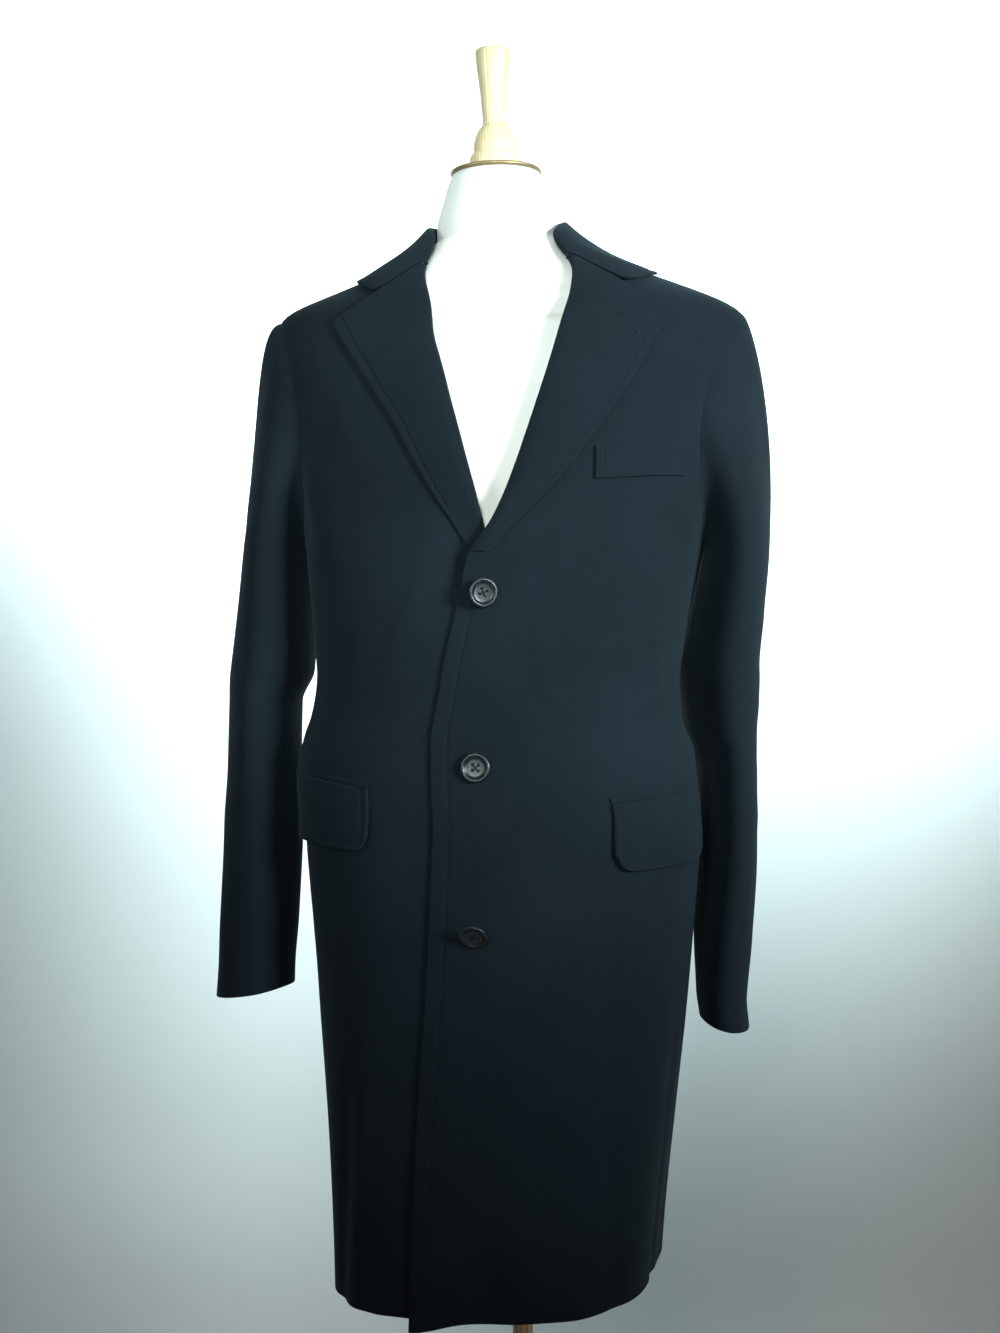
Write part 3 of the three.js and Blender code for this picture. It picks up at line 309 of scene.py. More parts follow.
# The coat's cut. Each row of BODY is a level section of its outer side: height, half width,
# middle in x, depth of front and back, squareness, and how far it falls to the left side.
WALL = 0.0026
SEAM_GAP = 0.0001
HEM_HEIGHT = 0.456
HEM_DIP = 0.001
HEM_SIDE_DIP = 0.004
HEM_TILT = 0.0025
HEM_CORNERS = [
    # angle of each front corner, half width in degrees, drop
    (-68, 24, -0.0070),
    (62, 26, -0.0035),
]
UNDERARM_HEIGHT = 1.165
SHOULDER_TIP_HEIGHT = 1.397
NECK_SEAM_HEIGHT = 1.462
SIDE_SEAM = 92.0
ARMHOLE_FRONT = 20.5
ARMHOLE_BACK = 24.0
SHOULDER_SOFTENING = 0.010
BODY = np.array([
    # z, half width, middle, front, back, squareness, tilt
    [0.440, 0.1525, -0.0200, 0.1780, 0.183, 2.85, 0.000],
    [0.500, 0.1570, -0.0180, 0.1755, 0.182, 2.70, 0.000],
    [0.600, 0.1685, -0.0150, 0.1720, 0.180, 2.35, 0.000],
    [0.700, 0.1810, -0.0126, 0.1680, 0.178, 2.15, 0.000],
    [0.800, 0.1900, -0.0100, 0.1600, 0.173, 2.15, 0.000],
    [0.900, 0.1975, -0.0085, 0.1510, 0.162, 2.20, 0.000],
    [0.933, 0.1980, -0.0115, 0.1470, 0.156, 2.20, 0.000],
    [0.962, 0.1975, -0.0135, 0.1435, 0.149, 2.20, 0.000],
    [0.988, 0.1890, -0.0145, 0.1410, 0.142, 2.20, 0.000],
    [1.005, 0.1845, -0.0125, 0.1395, 0.138, 2.20, 0.000],
    [1.035, 0.1815, -0.0100, 0.1375, 0.130, 2.20, 0.000],
    [1.080, 0.1860, -0.0070, 0.1350, 0.126, 2.25, 0.000],
    [1.140, 0.1945, -0.0025, 0.1340, 0.129, 2.30, 0.000],
    [1.220, 0.2080, 0.0040, 0.1320, 0.134, 2.30, -0.015],
    [1.300, 0.2210, 0.0080, 0.1240, 0.132, 2.30, -0.030],
    [1.358, 0.2350, 0.0090, 0.1080, 0.118, 2.20, -0.036],
    [1.395, 0.2360, 0.0090, 0.0920, 0.104, 2.00, -0.036],
    [1.427, 0.1670, 0.0050, 0.0800, 0.088, 2.00, -0.018],
    [1.461, 0.0835, 0.0005, 0.0670, 0.075, 2.00, 0.000],
    [1.487, 0.0655, 0.0000, 0.0600, 0.067, 2.00, 0.000],
    [1.504, 0.0640, 0.0000, 0.0580, 0.065, 2.00, 0.000],
])

# Folds of the cloth: height of the top and the foot, angle of each, half width
# in degrees, and how far it stands out, or in for a trough. A foot under the hem runs out.
FOLDS = np.array([
    # top, foot, top angle, foot angle, half width, rise
    [1.270, 1.130, 64, 50, 8, 0.0035],
    [1.270, 1.130, -68, -56, 8, 0.0030],
    [0.900, 0.150, -52, -58, 12, 0.0035],
    [0.860, 0.150, 54, 58, 12, 0.0025],
    [0.940, 0.150, 148, 146, 12, 0.0080],
    [0.940, 0.150, -146, -150, 12, 0.0080],
    [0.880, 0.150, -108, -116, 12, 0.0040],
    [0.880, 0.150, 110, 114, 12, 0.0040],
    # long soft ones of the skirt
    [0.800, 0.250, -36, -39, 4.5, 0.0024],
    [0.760, 0.250, -44, -48, 3.5, -0.0027],
    [0.690, 0.280, -27, -29, 3.5, 0.0015],
    [0.720, 0.260, 30, 33, 5.0, 0.0021],
    [0.800, 0.300, 41, 46, 4.0, -0.0024],
    [0.640, 0.250, 12, 13, 4.5, 0.0015],
    [0.860, 0.250, 76, 80, 5.0, -0.0030],
    [0.840, 0.250, -74, -82, 5.0, -0.0030],
    [0.780, 0.250, 128, 127, 5.0, -0.0033],
    [0.820, 0.250, -127, -129, 6.0, -0.0036],
    [0.730, 0.260, 162, 164, 5.0, 0.0021],
    [0.700, 0.260, -163, -167, 4.0, 0.0018],
    # drags at the waist and towards the top button
    [1.100, 0.985, 22, 34, 4.0, 0.0014],
    [1.135, 1.030, -24, -37, 4.5, 0.0015],
    [1.120, 1.010, 47, 55, 4.5, -0.0016],
    [1.110, 1.000, -50, -60, 4.0, -0.0018],
    [1.085, 0.960, 66, 72, 4.0, 0.0019],
    [1.075, 0.950, -70, -77, 4.0, 0.0018],
    [1.010, 0.900, 30, 26, 4.0, -0.0010],
    # below the armholes and over the chest
    [1.235, 1.150, 75, 66, 3.5, -0.0021],
    [1.245, 1.160, -76, -70, 3.5, -0.0018],
    [1.330, 1.215, 58, 60, 4.0, -0.0015],
    [1.340, 1.225, -60, -62, 4.5, -0.0016],
    [1.200, 1.120, 33, 28, 4.0, 0.0012],
    # the back: over the shoulder blades and into the waist
    [1.360, 1.200, 150, 158, 7.0, 0.0027],
    [1.350, 1.190, -152, -159, 7.0, 0.0024],
    [1.300, 1.150, 126, 134, 4.0, -0.0024],
    [1.310, 1.170, -125, -132, 4.5, -0.0027],
    [1.150, 1.000, 140, 150, 4.5, 0.0021],
    [1.130, 0.990, -138, -151, 4.0, 0.0023],
    [1.060, 0.950, 163, 171, 4.0, 0.0015],
    [1.090, 0.970, -166, -172, 3.5, 0.0014],
])


def ease(low, high, at):
    """From 0 to 1 between two limits, as three squares less two cubes."""
    t = np.clip((np.asarray(at, float) - low) / (high - low), 0, 1)
    return t * t * (3 - 2 * t)


def blend(start, end, share):
    """The value a share of the way from start to end."""
    return start + (end - start) * share


def along_table(table, at):
    """Each column of a table at places along its first one, on cubics through the rows whose
    slopes are the harmonic means of the slopes on both sides, and level at a turn."""
    keys = table[:, 0]
    step = np.diff(keys)[:, None]
    rise = np.diff(table[:, 1:], axis=0) / step
    before, after = rise[:-1], rise[1:]
    near = 2 * step[1:] + step[:-1]
    far = step[1:] + 2 * step[:-1]
    same_way = before * after > 0
    safe_before = np.where(same_way, before, 1)
    safe_after = np.where(same_way, after, 1)
    inner = np.where(same_way, (near + far) / (near / safe_before + far / safe_after), 0)
    slope = np.vstack([rise[:1], inner, rise[-1:]])
    at = np.asarray(at, float)
    i = np.clip(np.searchsorted(keys, at) - 1, 0, len(keys) - 2)
    t = np.clip((at - keys[i]) / step[i, 0], 0, 1)[..., None]
    value = (1 + 2 * t) * (1 - t) ** 2 * table[i, 1:] + t * t * (3 - 2 * t) * table[i + 1, 1:]
    bending = t * (1 - t) ** 2 * slope[i] + t * t * (t - 1) * slope[i + 1]
    return np.moveaxis(value + step[i] * bending, -1, 0)


def fold_rise(angle, z):
    """The sum of the folds: each is a bell across its line, faded in and out over a third of
    its length."""
    total = np.zeros(np.broadcast(angle, z).shape)
    for top, foot, top_angle, foot_angle, half_width, rise in FOLDS:
        fade = 0.35 * (top - foot)
        middle = blend(top_angle, foot_angle, np.clip((top - z) / (top - foot), 0, 1))
        off = (angle - middle + 540) % 360 - 180
        shown = ease(foot, foot + fade, z) * (1 - ease(top - fade, top, z))
        total = total + rise * shown * np.exp(-((off / half_width) ** 2))
    return total


def body_oval(angle, z):
    """A level superellipse for each height, with the folds added to its reach and the section
    tipped towards the coat's left side."""
    wide, middle, front, back, square, tilt = along_table(BODY, z)
    sine, cosine = np.sin(np.radians(angle)), np.cos(np.radians(angle))
    depth = np.where(cosine > 0, front, back)
    oval = np.abs(sine / wide) ** square + np.abs(cosine / depth) ** square
    reach = oval ** (-1 / square) + fold_rise(angle, z)
    x = middle + reach * sine
    return np.stack(np.broadcast_arrays(x, -reach * cosine, z + tilt * (x - middle)), -1)


def coat_surface(angle, z):
    """The body's oval, softened over its shoulders by the mean of three heights there."""
    angle, z = np.broadcast_arrays(np.asarray(angle, float), np.asarray(z, float))
    reach = SHOULDER_SOFTENING * ease(1.30, 1.36, z)
    level = body_oval(angle, z) / 2
    return level + body_oval(angle, z + reach) / 4 + body_oval(angle, z - reach) / 4


def coat_point(angle, z, out=0.0):
    """The coat's surface moved out along its normal, which is the cross product of a small
    step round the body and one up it."""
    angle, z = np.asarray(angle, float), np.asarray(z, float)
    round_step = coat_surface(angle + 0.5, z) - coat_surface(angle - 0.5, z)
    up_step = coat_surface(angle, z + 0.001) - coat_surface(angle, z - 0.001)
    normal = np.cross(round_step, up_step)
    normal /= np.linalg.norm(normal, axis=-1, keepdims=True)
    return coat_surface(angle, z) + normal * np.asarray(out, float)[..., None]


def metres_per_degree(angle, z):
    """How far one degree goes on the coat's surface."""
    return np.linalg.norm(coat_surface(angle + 0.5, z) - coat_surface(angle - 0.5, z), axis=-1)


# The torso: a light moulded shell with a pale cotton cover, smooth and whole. The coat hangs
# on its shoulders, so their line is the coat's own, less the cloth and a small gap.
SEAT_GAP = 0.0009
FORM_INSET = 0.011
NECK_TOP = 1.5405
BUST = np.array([
    # z, half width, front, back, squareness
    [FORM_BOTTOM, 0.128, 0.084, 0.092, 2.2],
    [FORM_BOTTOM + 0.008, 0.146, 0.096, 0.106, 2.2],
    [FORM_BOTTOM + 0.040, 0.163, 0.106, 0.117, 2.2],
    [0.830, 0.168, 0.110, 0.120, 2.2],
    [0.900, 0.169, 0.111, 0.121, 2.2],
    [1.000, 0.155, 0.109, 0.107, 2.2],
    [1.070, 0.147, 0.106, 0.097, 2.2],
    [1.160, 0.163, 0.112, 0.104, 2.3],
    [1.240, 0.180, 0.115, 0.111, 2.3],
    [1.310, 0.194, 0.106, 0.110, 2.3],
    [1.355, 0.200, 0.092, 0.100, 2.2],
    [1.384, 0.204, 0.080, 0.090, 2.0],
])
SHOULDER_HEIGHTS = np.array([1.400, 1.412, 1.424, 1.436, 1.448, 1.458])
NECK = np.array([
    # z, half width, front, back, squareness
    [1.474, 0.0620, 0.0565, 0.0610, 2.0],
    [1.492, 0.0600, 0.0545, 0.0580, 2.0],
    [1.516, 0.0530, 0.0510, 0.0510, 2.0],
    [NECK_TOP - 0.004, 0.0460, 0.0455, 0.0455, 2.0],
    [NECK_TOP, 0.0435, 0.0430, 0.0430, 2.0],
])


def shoulder_reach(heights):
    """How far out the lower of the coat's two shoulder lines is at each height."""
    climb = np.linspace(1.395, 1.480, 60)
    lines = [coat_point(np.full(60, angle), climb, -WALL - SEAT_GAP) for angle in (-90.0, 90.0)]
    return np.min([np.interp(heights, line[:, 2], np.abs(line[:, 0])) for line in lines], axis=0)


def torso_radii(heights):
    """Half width, front, back and squareness of the torso: straight between the sections of
    the shoulders, which lie close under the coat, and on smooth curves elsewhere."""
    smooth = along_table(TORSO, heights)
    straight = [np.interp(heights, TORSO[:, 0], column) for column in TORSO.T[1:]]
    seated = ease(1.355, 1.384, heights) * (1 - ease(1.474, 1.492, heights))
    return blend(smooth, np.array(straight), seated) - [[0.0012], [0.0020], [0.0020], [0]] * seated


_, _, coat_front, coat_back, _, _ = along_table(BODY, SHOULDER_HEIGHTS)
shoulders = np.stack([
    SHOULDER_HEIGHTS, shoulder_reach(SHOULDER_HEIGHTS), coat_front - FORM_INSET, coat_back - FORM_INSET,
    np.full(len(SHOULDER_HEIGHTS), 2.0)], -1)
TORSO = np.vstack([BUST, shoulders, NECK])

levels = np.unique(np.concatenate([TORSO[:, 0], np.arange(FORM_BOTTOM + 0.004, NECK_TOP, 0.007)]))
around = np.radians(np.arange(0, 360, 3.0))
wide, front, back, square = (column[:, None] for column in torso_radii(levels))
depth = np.where(np.cos(around) > 0, front, back)
oval = np.abs(np.sin(around) / wide) ** square + np.abs(np.cos(around) / depth) ** square
reach = oval ** (-1 / square)
skin = np.stack(np.broadcast_arrays(reach * np.sin(around), -reach * np.cos(around), levels[:, None]), -1)
closed_skin = [(0, FORM_BOTTOM), *zip(np.ones(len(levels)), levels), (0, NECK_TOP)]
torso = revolved("torso_cover", closed_skin, len(around))
torso.data.vertices.foreach_set("co", np.concatenate([
    skin.reshape(-1, 3), [[0, 0, FORM_BOTTOM], [0, 0, NECK_TOP]]]).astype(np.float32).ravel())
torso.data.update()


def cotton_cover():
    """Pale plain-woven cotton: fine noise for the yarns, and faint soiling that varies over a
    hand's breadth."""
    made = material("cotton_cover", 0.88, Sheen_Weight=0.15, Sheen_Roughness=0.5)
    place_on = mapped(made, "Object")
    soil = texture(made, "Noise", place_on, Scale=7.0, Detail=3.0)
    coloured(made, soil, (0.56, 0.53, 0.48), (0.61, 0.60, 0.57), 0.3, 0.7)
    raised(made, texture(made, "Noise", place_on, Scale=1100.0, Detail=2.0), 0.25, 0.0004)
    return made


finished(torso, "form_torso", cotton_cover())

# The neck cap and the finial: a thin dull brass plate closes the neck, and a knob and handle
# turned in one from pale wood is screwed down on it.
CAP_TOP = NECK_TOP + 0.0043
FINIAL_FOOT = CAP_TOP + 0.0003

plate = turned("neck_plate", [
    (0, NECK_TOP + 0.0003), (0.0445, NECK_TOP + 0.0003), (0.046, NECK_TOP + 0.0018),
    (0.0457, NECK_TOP + 0.0036), (0.045, CAP_TOP), (0, CAP_TOP),
])


def dull_brass():
    """Aged brass, browner and rougher in soft patches."""
    made = material("dull_brass", 0.42, Metallic=0.85)
    patches = texture(made, "Noise", mapped(made, "Object"), Scale=45.0, Detail=5.0)
    coloured(made, patches, (0.20, 0.13, 0.06), (0.42, 0.31, 0.17))
    roughened(made, patches, 0.55, 0.32)
    return made


finished(plate, "neck_cap", dull_brass())

KNOB = np.array([
    # height above the foot of the finial, radius
    [0.000, 0.0250], [0.003, 0.0265], [0.012, 0.0265], [0.016, 0.0245], [0.018, 0.0225],
    [0.024, 0.0225], [0.034, 0.0200], [0.042, 0.0160], [0.046, 0.0126], [0.050, 0.0124],
    [0.066, 0.0135], [0.088, 0.0154], [0.114, 0.0182], [0.119, 0.0184], [0.1215, 0.0164], [0.122, 0.0150],
])
climb = np.unique(np.concatenate([KNOB[:, 0], np.linspace(0, 0.122, 70)]))
knob_radius = along_table(KNOB, climb)[0]
handle = turned("knob_and_handle", [
    (0, FINIAL_FOOT), *zip(knob_radius, FINIAL_FOOT + climb), (0, FINIAL_FOOT + 0.122)])
pale_wood = wood("pale_wood", (0.60, 0.49, 0.29), (0.50, 0.38, 0.20), 90.0, 0.3)
finished(handle, "finial", pale_wood)

# The backs: two panels of heavy brushed wool with a satin lining, sewn down the centre back.
# Below the vent's head the right one runs on under the left one.
VENT_HEAD = 0.850
VENT_LAP = 0.042
REST_GAP = 0.0011


def add_maps(piece, points):
    """A UV map in metres: how far each point is along its row and up its column, averaged, so
    that the weave keeps its size and follows the piece."""
    rows, columns = points.shape[:2]
    beside = np.linalg.norm(np.diff(points, axis=1), axis=-1).mean(0)
    above = np.linalg.norm(np.diff(points, axis=0), axis=-1).mean(1)
    u = np.concatenate([[0], np.cumsum(beside)])
    v = np.concatenate([[0], np.cumsum(above)])
    uv = np.stack(np.broadcast_arrays(u[None, :], v[:, None]), -1).reshape(-1, 2)
    corners = np.empty(len(piece.data.loops), int)
    piece.data.loops.foreach_get("vertex_index", corners)
    layer = piece.data.uv_layers.new(name="cloth")
    layer.data.foreach_set("uv", uv[corners].astype(np.float32).ravel())


def wool_cloth():
    """Brushed dark wool: a fine diagonal twill all but hidden in a short nap that lies along
    the cloth, soft cloudy variation in its depth of colour, and a dull sheen on the nap."""
    made = material(
        "wool_cloth", 0.93, Sheen_Weight=0.035, Sheen_Roughness=0.5,
        Sheen_Tint=(0.50, 0.72, 0.85, 1), Specular_IOR_Level=0.06)
    clouds = texture(made, "Noise", mapped(made, "Object"), Scale=6.0, Detail=4.0)
    lying = mapped(made, "UV", Scale=(1.0, 0.28, 1.0))
    nap = texture(made, "Noise", lying, Scale=1500.0, Detail=3.0)
    diagonal = mapped(made, "UV", Rotation=(0, 0, np.radians(52)))
    twill = texture(made, "Wave", diagonal, Scale=170.0, Distortion=1.5, Detail=1.0)
    coloured(made, mixed(made, 0.42, clouds, nap),
             (0.0024, 0.0040, 0.0058), (0.0050, 0.0082, 0.0116), 0.32, 0.68)
    raised(made, mixed(made, 0.3, nap, twill), 0.35, 0.0005)
    return made


def satin_lining():
    """Dark satin, smooth and faintly ribbed along the cloth."""
    made = material("satin_lining", 0.38, Sheen_Weight=0.1)
    ribs = texture(made, "Noise", mapped(made, "UV", Scale=(1.0, 0.05, 1.0)), Scale=700.0)
    coloured(made, ribs, (0.006, 0.008, 0.014), (0.014, 0.018, 0.028))
    return made


wool = wool_cloth()
lining = satin_lining()


def cloth(name, points, node, cut, area, held, rests_on, thick=WALL, lined=False):
    """A piece of cloth whose outer side is a grid of points, columns from the wearer's right
    to the left and rows upwards. Its thickness goes in, and its edges are softly rounded."""
    piece = mesh_object(name, points, grid_faces(*points.shape[:2]))
    add_maps(piece, points)
    piece.data.materials.append(wool)
    piece.data.materials.append(lining if lined else wool)
    thickness = piece.modifiers.new("thickness", "SOLIDIFY")
    thickness.thickness = thick
    thickness.offset = -1
    thickness.use_quality_normals = True
    thickness.material_offset = 1
    edge = piece.modifiers.new("edge", "BEVEL")
    edge.width = 0.38 * thick
    edge.segments = 3
    edge.limit_method = "ANGLE"
    edge.angle_limit = np.radians(60)
    piece.data.shade_smooth()
    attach(piece, "root")
    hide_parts(node)
    return piece


def armhole_reach(z):
    """How far the armhole is open at a height: a half circle between underarm and tip."""
    middle = (UNDERARM_HEIGHT + SHOULDER_TIP_HEIGHT) / 2
    half = (SHOULDER_TIP_HEIGHT - UNDERARM_HEIGHT) / 2
    return np.sqrt(1 - np.clip((z - middle) / half, -1, 1) ** 2)


def across_panel(start, straight_end, end, share):
    """A share of the way across a panel. The armhole's pull grows with the square of it, so
    the middle of the panel stays straight."""
    return blend(start, straight_end, share) + (end - straight_end) * share ** 2


def hemmed(angle, z):
    """Heights let down near the hem, by waves round it and a bell at each of its corners."""
    turn = np.radians(angle)
    drop = HEM_DIP * np.cos(turn) + (HEM_SIDE_DIP - HEM_TILT * np.sin(turn)) * np.sin(turn) ** 2
    for middle, half_width, by in HEM_CORNERS:
        drop = drop + by * np.exp(-(((angle - middle) / half_width) ** 2))
    return z - drop * (1 - ease(HEM_HEIGHT, HEM_HEIGHT + 0.2, z))


def panel_rows(*extra):
    """Heights of a panel's rows: even down the skirt, closer round the armhole and shoulder."""
    armhole = (UNDERARM_HEIGHT + SHOULDER_TIP_HEIGHT) / 2 - (
        (SHOULDER_TIP_HEIGHT - UNDERARM_HEIGHT) / 2) * np.cos(np.linspace(0, np.pi, 46))
    rows = np.concatenate([
        np.linspace(HEM_HEIGHT, UNDERARM_HEIGHT, 142), armhole,
        np.linspace(SHOULDER_TIP_HEIGHT, NECK_SEAM_HEIGHT, 16), extra])
    return np.unique(np.round(rows, 6))


def back_panel(side):
    """Rows of angles from the side seam or armhole to the centre back. On the right side the
    vent's lap goes on past the middle, sunk under the left panel."""
    sign = 1 if side == "left" else -1
    right = side == "right"
    z = panel_rows(VENT_HEAD - 0.030, VENT_HEAD - 0.002, VENT_HEAD + 0.050)[:, None]
    share = np.linspace(0, 1, 60)[None, :]
    start = sign * (SIDE_SEAM + ARMHOLE_BACK * armhole_reach(z))
    seam = sign * SEAM_GAP / 2 / metres_per_degree(start, z)
    per_degree = metres_per_degree(180.0, z)
    past = right * VENT_LAP / per_degree * (1 - ease(VENT_HEAD - 0.030, VENT_HEAD - 0.002, z))
    end = sign * (180 + past - SEAM_GAP / 2 / per_degree)
    angle = across_panel(end, sign * SIDE_SEAM + seam, start + seam, 1 - share)
    sunk = right * (WALL + REST_GAP) * (1 - ease(VENT_HEAD, VENT_HEAD + 0.050, z))
    points = coat_point(angle, hemmed(angle, z), -sunk * ease(172, 179, sign * angle))
    return points if side == "left" else points[:, ::-1]


cloth("left_back", back_panel("left"), "back_left", (0.30, 1.05), 0.262, "hung",
      ["torso_cover"], lined=True)
cloth("right_back", back_panel("right"), "back_right", (0.34, 1.05), 0.277, "hung",
      ["torso_cover"], lined=True)

# The fronts: the same wool, lined. The left one closes over the right one down to the hem,
# and its edge carries a row of stitches that pull a soft channel into the cloth.
BREAK_HEIGHT = 1.157
UNDER_LAP = 0.078
PANEL_SETBACK = 0.007
RIGHT_LAP_TOP = 1.126
RIGHT_ROLL_FOOT = 1.149
NECK_SEAM_END = 8.0
LAP_SINK = 0.0034
CROSSING_SINK = 0.011
CHANNEL_DEPTH = 0.0007
CHANNEL_HALF_WIDTH = 0.0016
FRONT_CHANNEL_AT = 0.015
EDGE_CHANNEL_AT = 0.008
LAP_CORNER_DROP = 0.012
LAP_CORNER_HALF_WIDTH = 12.0
LAPELS = {
    "left": np.array([
        # up the lapel, angle and height of the roll line, angle and height of the outer edge
        [0, -4.2, 1.1585, 1.8, 1.1580],
        [1, -1.4, 1.1690, 6.5, 1.1640],
        [2, 3.4, 1.1860, 13.5, 1.1820],
        [3, 8.6, 1.2140, 24.5, 1.2110],
        [4, 12.7, 1.2420, 34.5, 1.2430],
        [5, 18.4, 1.2840, 45.0, 1.2860],
        [6, 24.9, 1.3270, 54.6, 1.3290],
        [7, 33.2, 1.3720, 61.5, 1.3630],
        [8, 43.0, 1.4100, 65.2, 1.3760],
        [9, 53.9, 1.4450, 66.8, 1.3840],
    ]),
    "right": np.array([
        # up the lapel, angle and height of the roll line, angle and height of the outer edge
        [0, 6.2, 1.1505, -1.5, 1.1505],
        [1, 3.4, 1.1640, -5.5, 1.1630],
        [2, 0.4, 1.1820, -11.5, 1.1840],
        [3, -3.2, 1.2140, -21.0, 1.2170],
        [4, -7.6, 1.2450, -29.6, 1.2500],
        [5, -13.0, 1.2820, -38.0, 1.2850],
        [6, -20.2, 1.3280, -50.0, 1.3290],
        [7, -28.6, 1.3680, -59.5, 1.3620],
        [8, -36.6, 1.4080, -63.4, 1.3750],
        [9, -45.2, 1.4430, -65.4, 1.3840],
    ]),
}
FRONT_EDGE = np.array([
    # z, angle
    [0.440, -18.0], [0.540, -18.0], [0.650, -17.0], [0.740, -15.6], [0.900, -14.8],
    [0.980, -14.2], [1.052, -11.8], [1.101, -8.4], [BREAK_HEIGHT, -4.6],
])


def front_edge(z):
    """Angle of the closing's visible edge, held above the foot of the lapels."""
    return along_table(FRONT_EDGE, np.minimum(z, BREAK_HEIGHT))[0]


def front_start(side, z):
    """Where a front starts: at its edge, then behind the roll line, then along the neck. The
    right one's lap eases back to the roll line just below the lapels."""
    sign = 1 if side == "left" else -1
    roll_angle, roll_z = LAPELS[side][:, 1], LAPELS[side][:, 2]
    roll = np.interp(z, roll_z, roll_angle)
    low = z < roll_z[0]
    first_slope = (roll_angle[1] - roll_angle[0]) / (roll_z[1] - roll_z[0])
    roll = np.where(low, roll_angle[0] + first_slope * (z - roll_z[0]), roll)
    rolled = roll + sign * PANEL_SETBACK / metres_per_degree(roll, z)
    edge = front_edge(z)
    if side == "left":
        below = np.where(z > BREAK_HEIGHT, rolled, edge)
    else:
        lapped = edge + UNDER_LAP / metres_per_degree(edge, z)
        below = blend(lapped, rolled, ease(RIGHT_LAP_TOP, RIGHT_ROLL_FOOT, z))
    gorge = roll_angle[-1] + sign * PANEL_SETBACK / metres_per_degree(roll_angle[-1], roll_z[-1])
    neck = sign * (SIDE_SEAM - NECK_SEAM_END)
    round_neck = blend(gorge, neck, (z - roll_z[-1]) / (NECK_SEAM_HEIGHT - roll_z[-1]))
    return np.where(z > roll_z[-1], round_neck, below)


def sink_under_lap(side, angle, z):
    """How deep the right side lies so that the left one passes over it: deepest where the
    lapels cross, and nothing above the crossing."""
    if side == "left":
        return np.zeros(np.broadcast(angle, z).shape)
    edge = front_edge(z)
    crossing = ease(RIGHT_LAP_TOP - 0.030, RIGHT_ROLL_FOOT - 0.004, z)
    covered = 1 - ease(BREAK_HEIGHT + 0.022, BREAK_HEIGHT + 0.062, z)
    deep = blend(LAP_SINK, CROSSING_SINK, crossing) * covered
    return deep * ease(edge - 20, edge - 1.5, angle)


def channel(distance, at):
    """The trough that a row of stitches pulls into the cloth, a bell across the row."""
    return -CHANNEL_DEPTH * np.exp(-(((distance - at) / CHANNEL_HALF_WIDTH) ** 2))


def front_angle(side, z, share):
    """The angle a share of the way across a front. The right one's hidden lap moves only the
    columns next to it, by the cube of what is left of the way."""
    sign = 1 if side == "left" else -1
    end = sign * (SIDE_SEAM - ARMHOLE_FRONT * armhole_reach(z))
    seam = sign * SEAM_GAP / 2 / metres_per_degree(end, z)
    start = front_start(side, z)
    plain = front_start(side, np.maximum(z, RIGHT_ROLL_FOOT)) if side == "right" else start
    across = across_panel(plain, sign * SIDE_SEAM - seam, end - seam, share)
    return across + (start - plain) * (1 - share) ** 3


def front_panel(side):
    """Rows of angles from the front edge to the side seam or armhole, closest by the edge.
    The left one has a stitched channel beside its edge, up to the foot of the lapel, and its
    lower corner hangs down by a bell round the edge."""
    z = panel_rows(RIGHT_LAP_TOP, RIGHT_ROLL_FOOT, BREAK_HEIGHT, BREAK_HEIGHT + 0.0008)[:, None]
    share = np.concatenate([np.linspace(0, 0.075, 22), np.linspace(0.075, 1, 66)[1:]])[None, :]
    angle = front_angle(side, z, share)
    from_edge = np.abs(angle - front_start(side, z)) * metres_per_degree(angle, z)
    below_break = 1 - ease(BREAK_HEIGHT - 0.030, BREAK_HEIGHT - 0.006, z)
    stitched = channel(from_edge, FRONT_CHANNEL_AT) * below_break
    out = stitched if side == "left" else -sink_under_lap(side, angle, z)
    hung = hemmed(angle, z)
    if side == "left":
        corner = np.exp(-(((angle - front_edge(z)) / LAP_CORNER_HALF_WIDTH) ** 2))
        hung = hung - LAP_CORNER_DROP * corner * (1 - ease(HEM_HEIGHT, HEM_HEIGHT + 0.2, z))
    points = coat_point(angle, hung, out)
    return points if side == "left" else points[:, ::-1]


cloth("left_front", front_panel("left"), "front_left", (0.34, 1.08), 0.283, "hung",
      ["torso_cover"], lined=True)
cloth("right_front", front_panel("right"), "front_right", (0.34, 1.08), 0.281, "hung",
      ["torso_cover"], lined=True)

# The lapels: each facing is turned out at the roll line and lies on its front. It rolls softly
# there and is pressed flat towards its stitched outer edge.
LAPEL_GAP = 0.00105
LAPEL_TURN_IN = 0.020
LAPEL_LIFT = 0.0032
LAPEL_FLAT = 0.016
LAPEL_FULL_WIDTH = 0.060
NOTCH = {"left": (62.6, 1.411), "right": (-58.5, 1.409)}


def lapel_place(side, up, distance, out, lift=0.0):
    """A place on a lapel: the angle and height lie on the line from the roll line to the outer
    edge, bowed towards the notch at the collar's seam, and sunk where the lapels cross."""
    roll_angle, roll_z, edge_angle, edge_z = along_table(LAPELS[side], up)
    length = lapel_width(side, up)
    share = distance / length
    bow = 2 * share * (1 - share) * ease(7.5, 9, up)
    notch_angle, notch_z = NOTCH[side]
    angle = blend(roll_angle, edge_angle, share) + bow * (notch_angle - (roll_angle + edge_angle) / 2)
    z = blend(roll_z, edge_z, share) + bow * (notch_z - (roll_z + edge_z) / 2)
    sunk = sink_under_lap(side, angle, z)
    return coat_point(angle, z, out - sunk + lift * (1 - sunk / CROSSING_SINK))


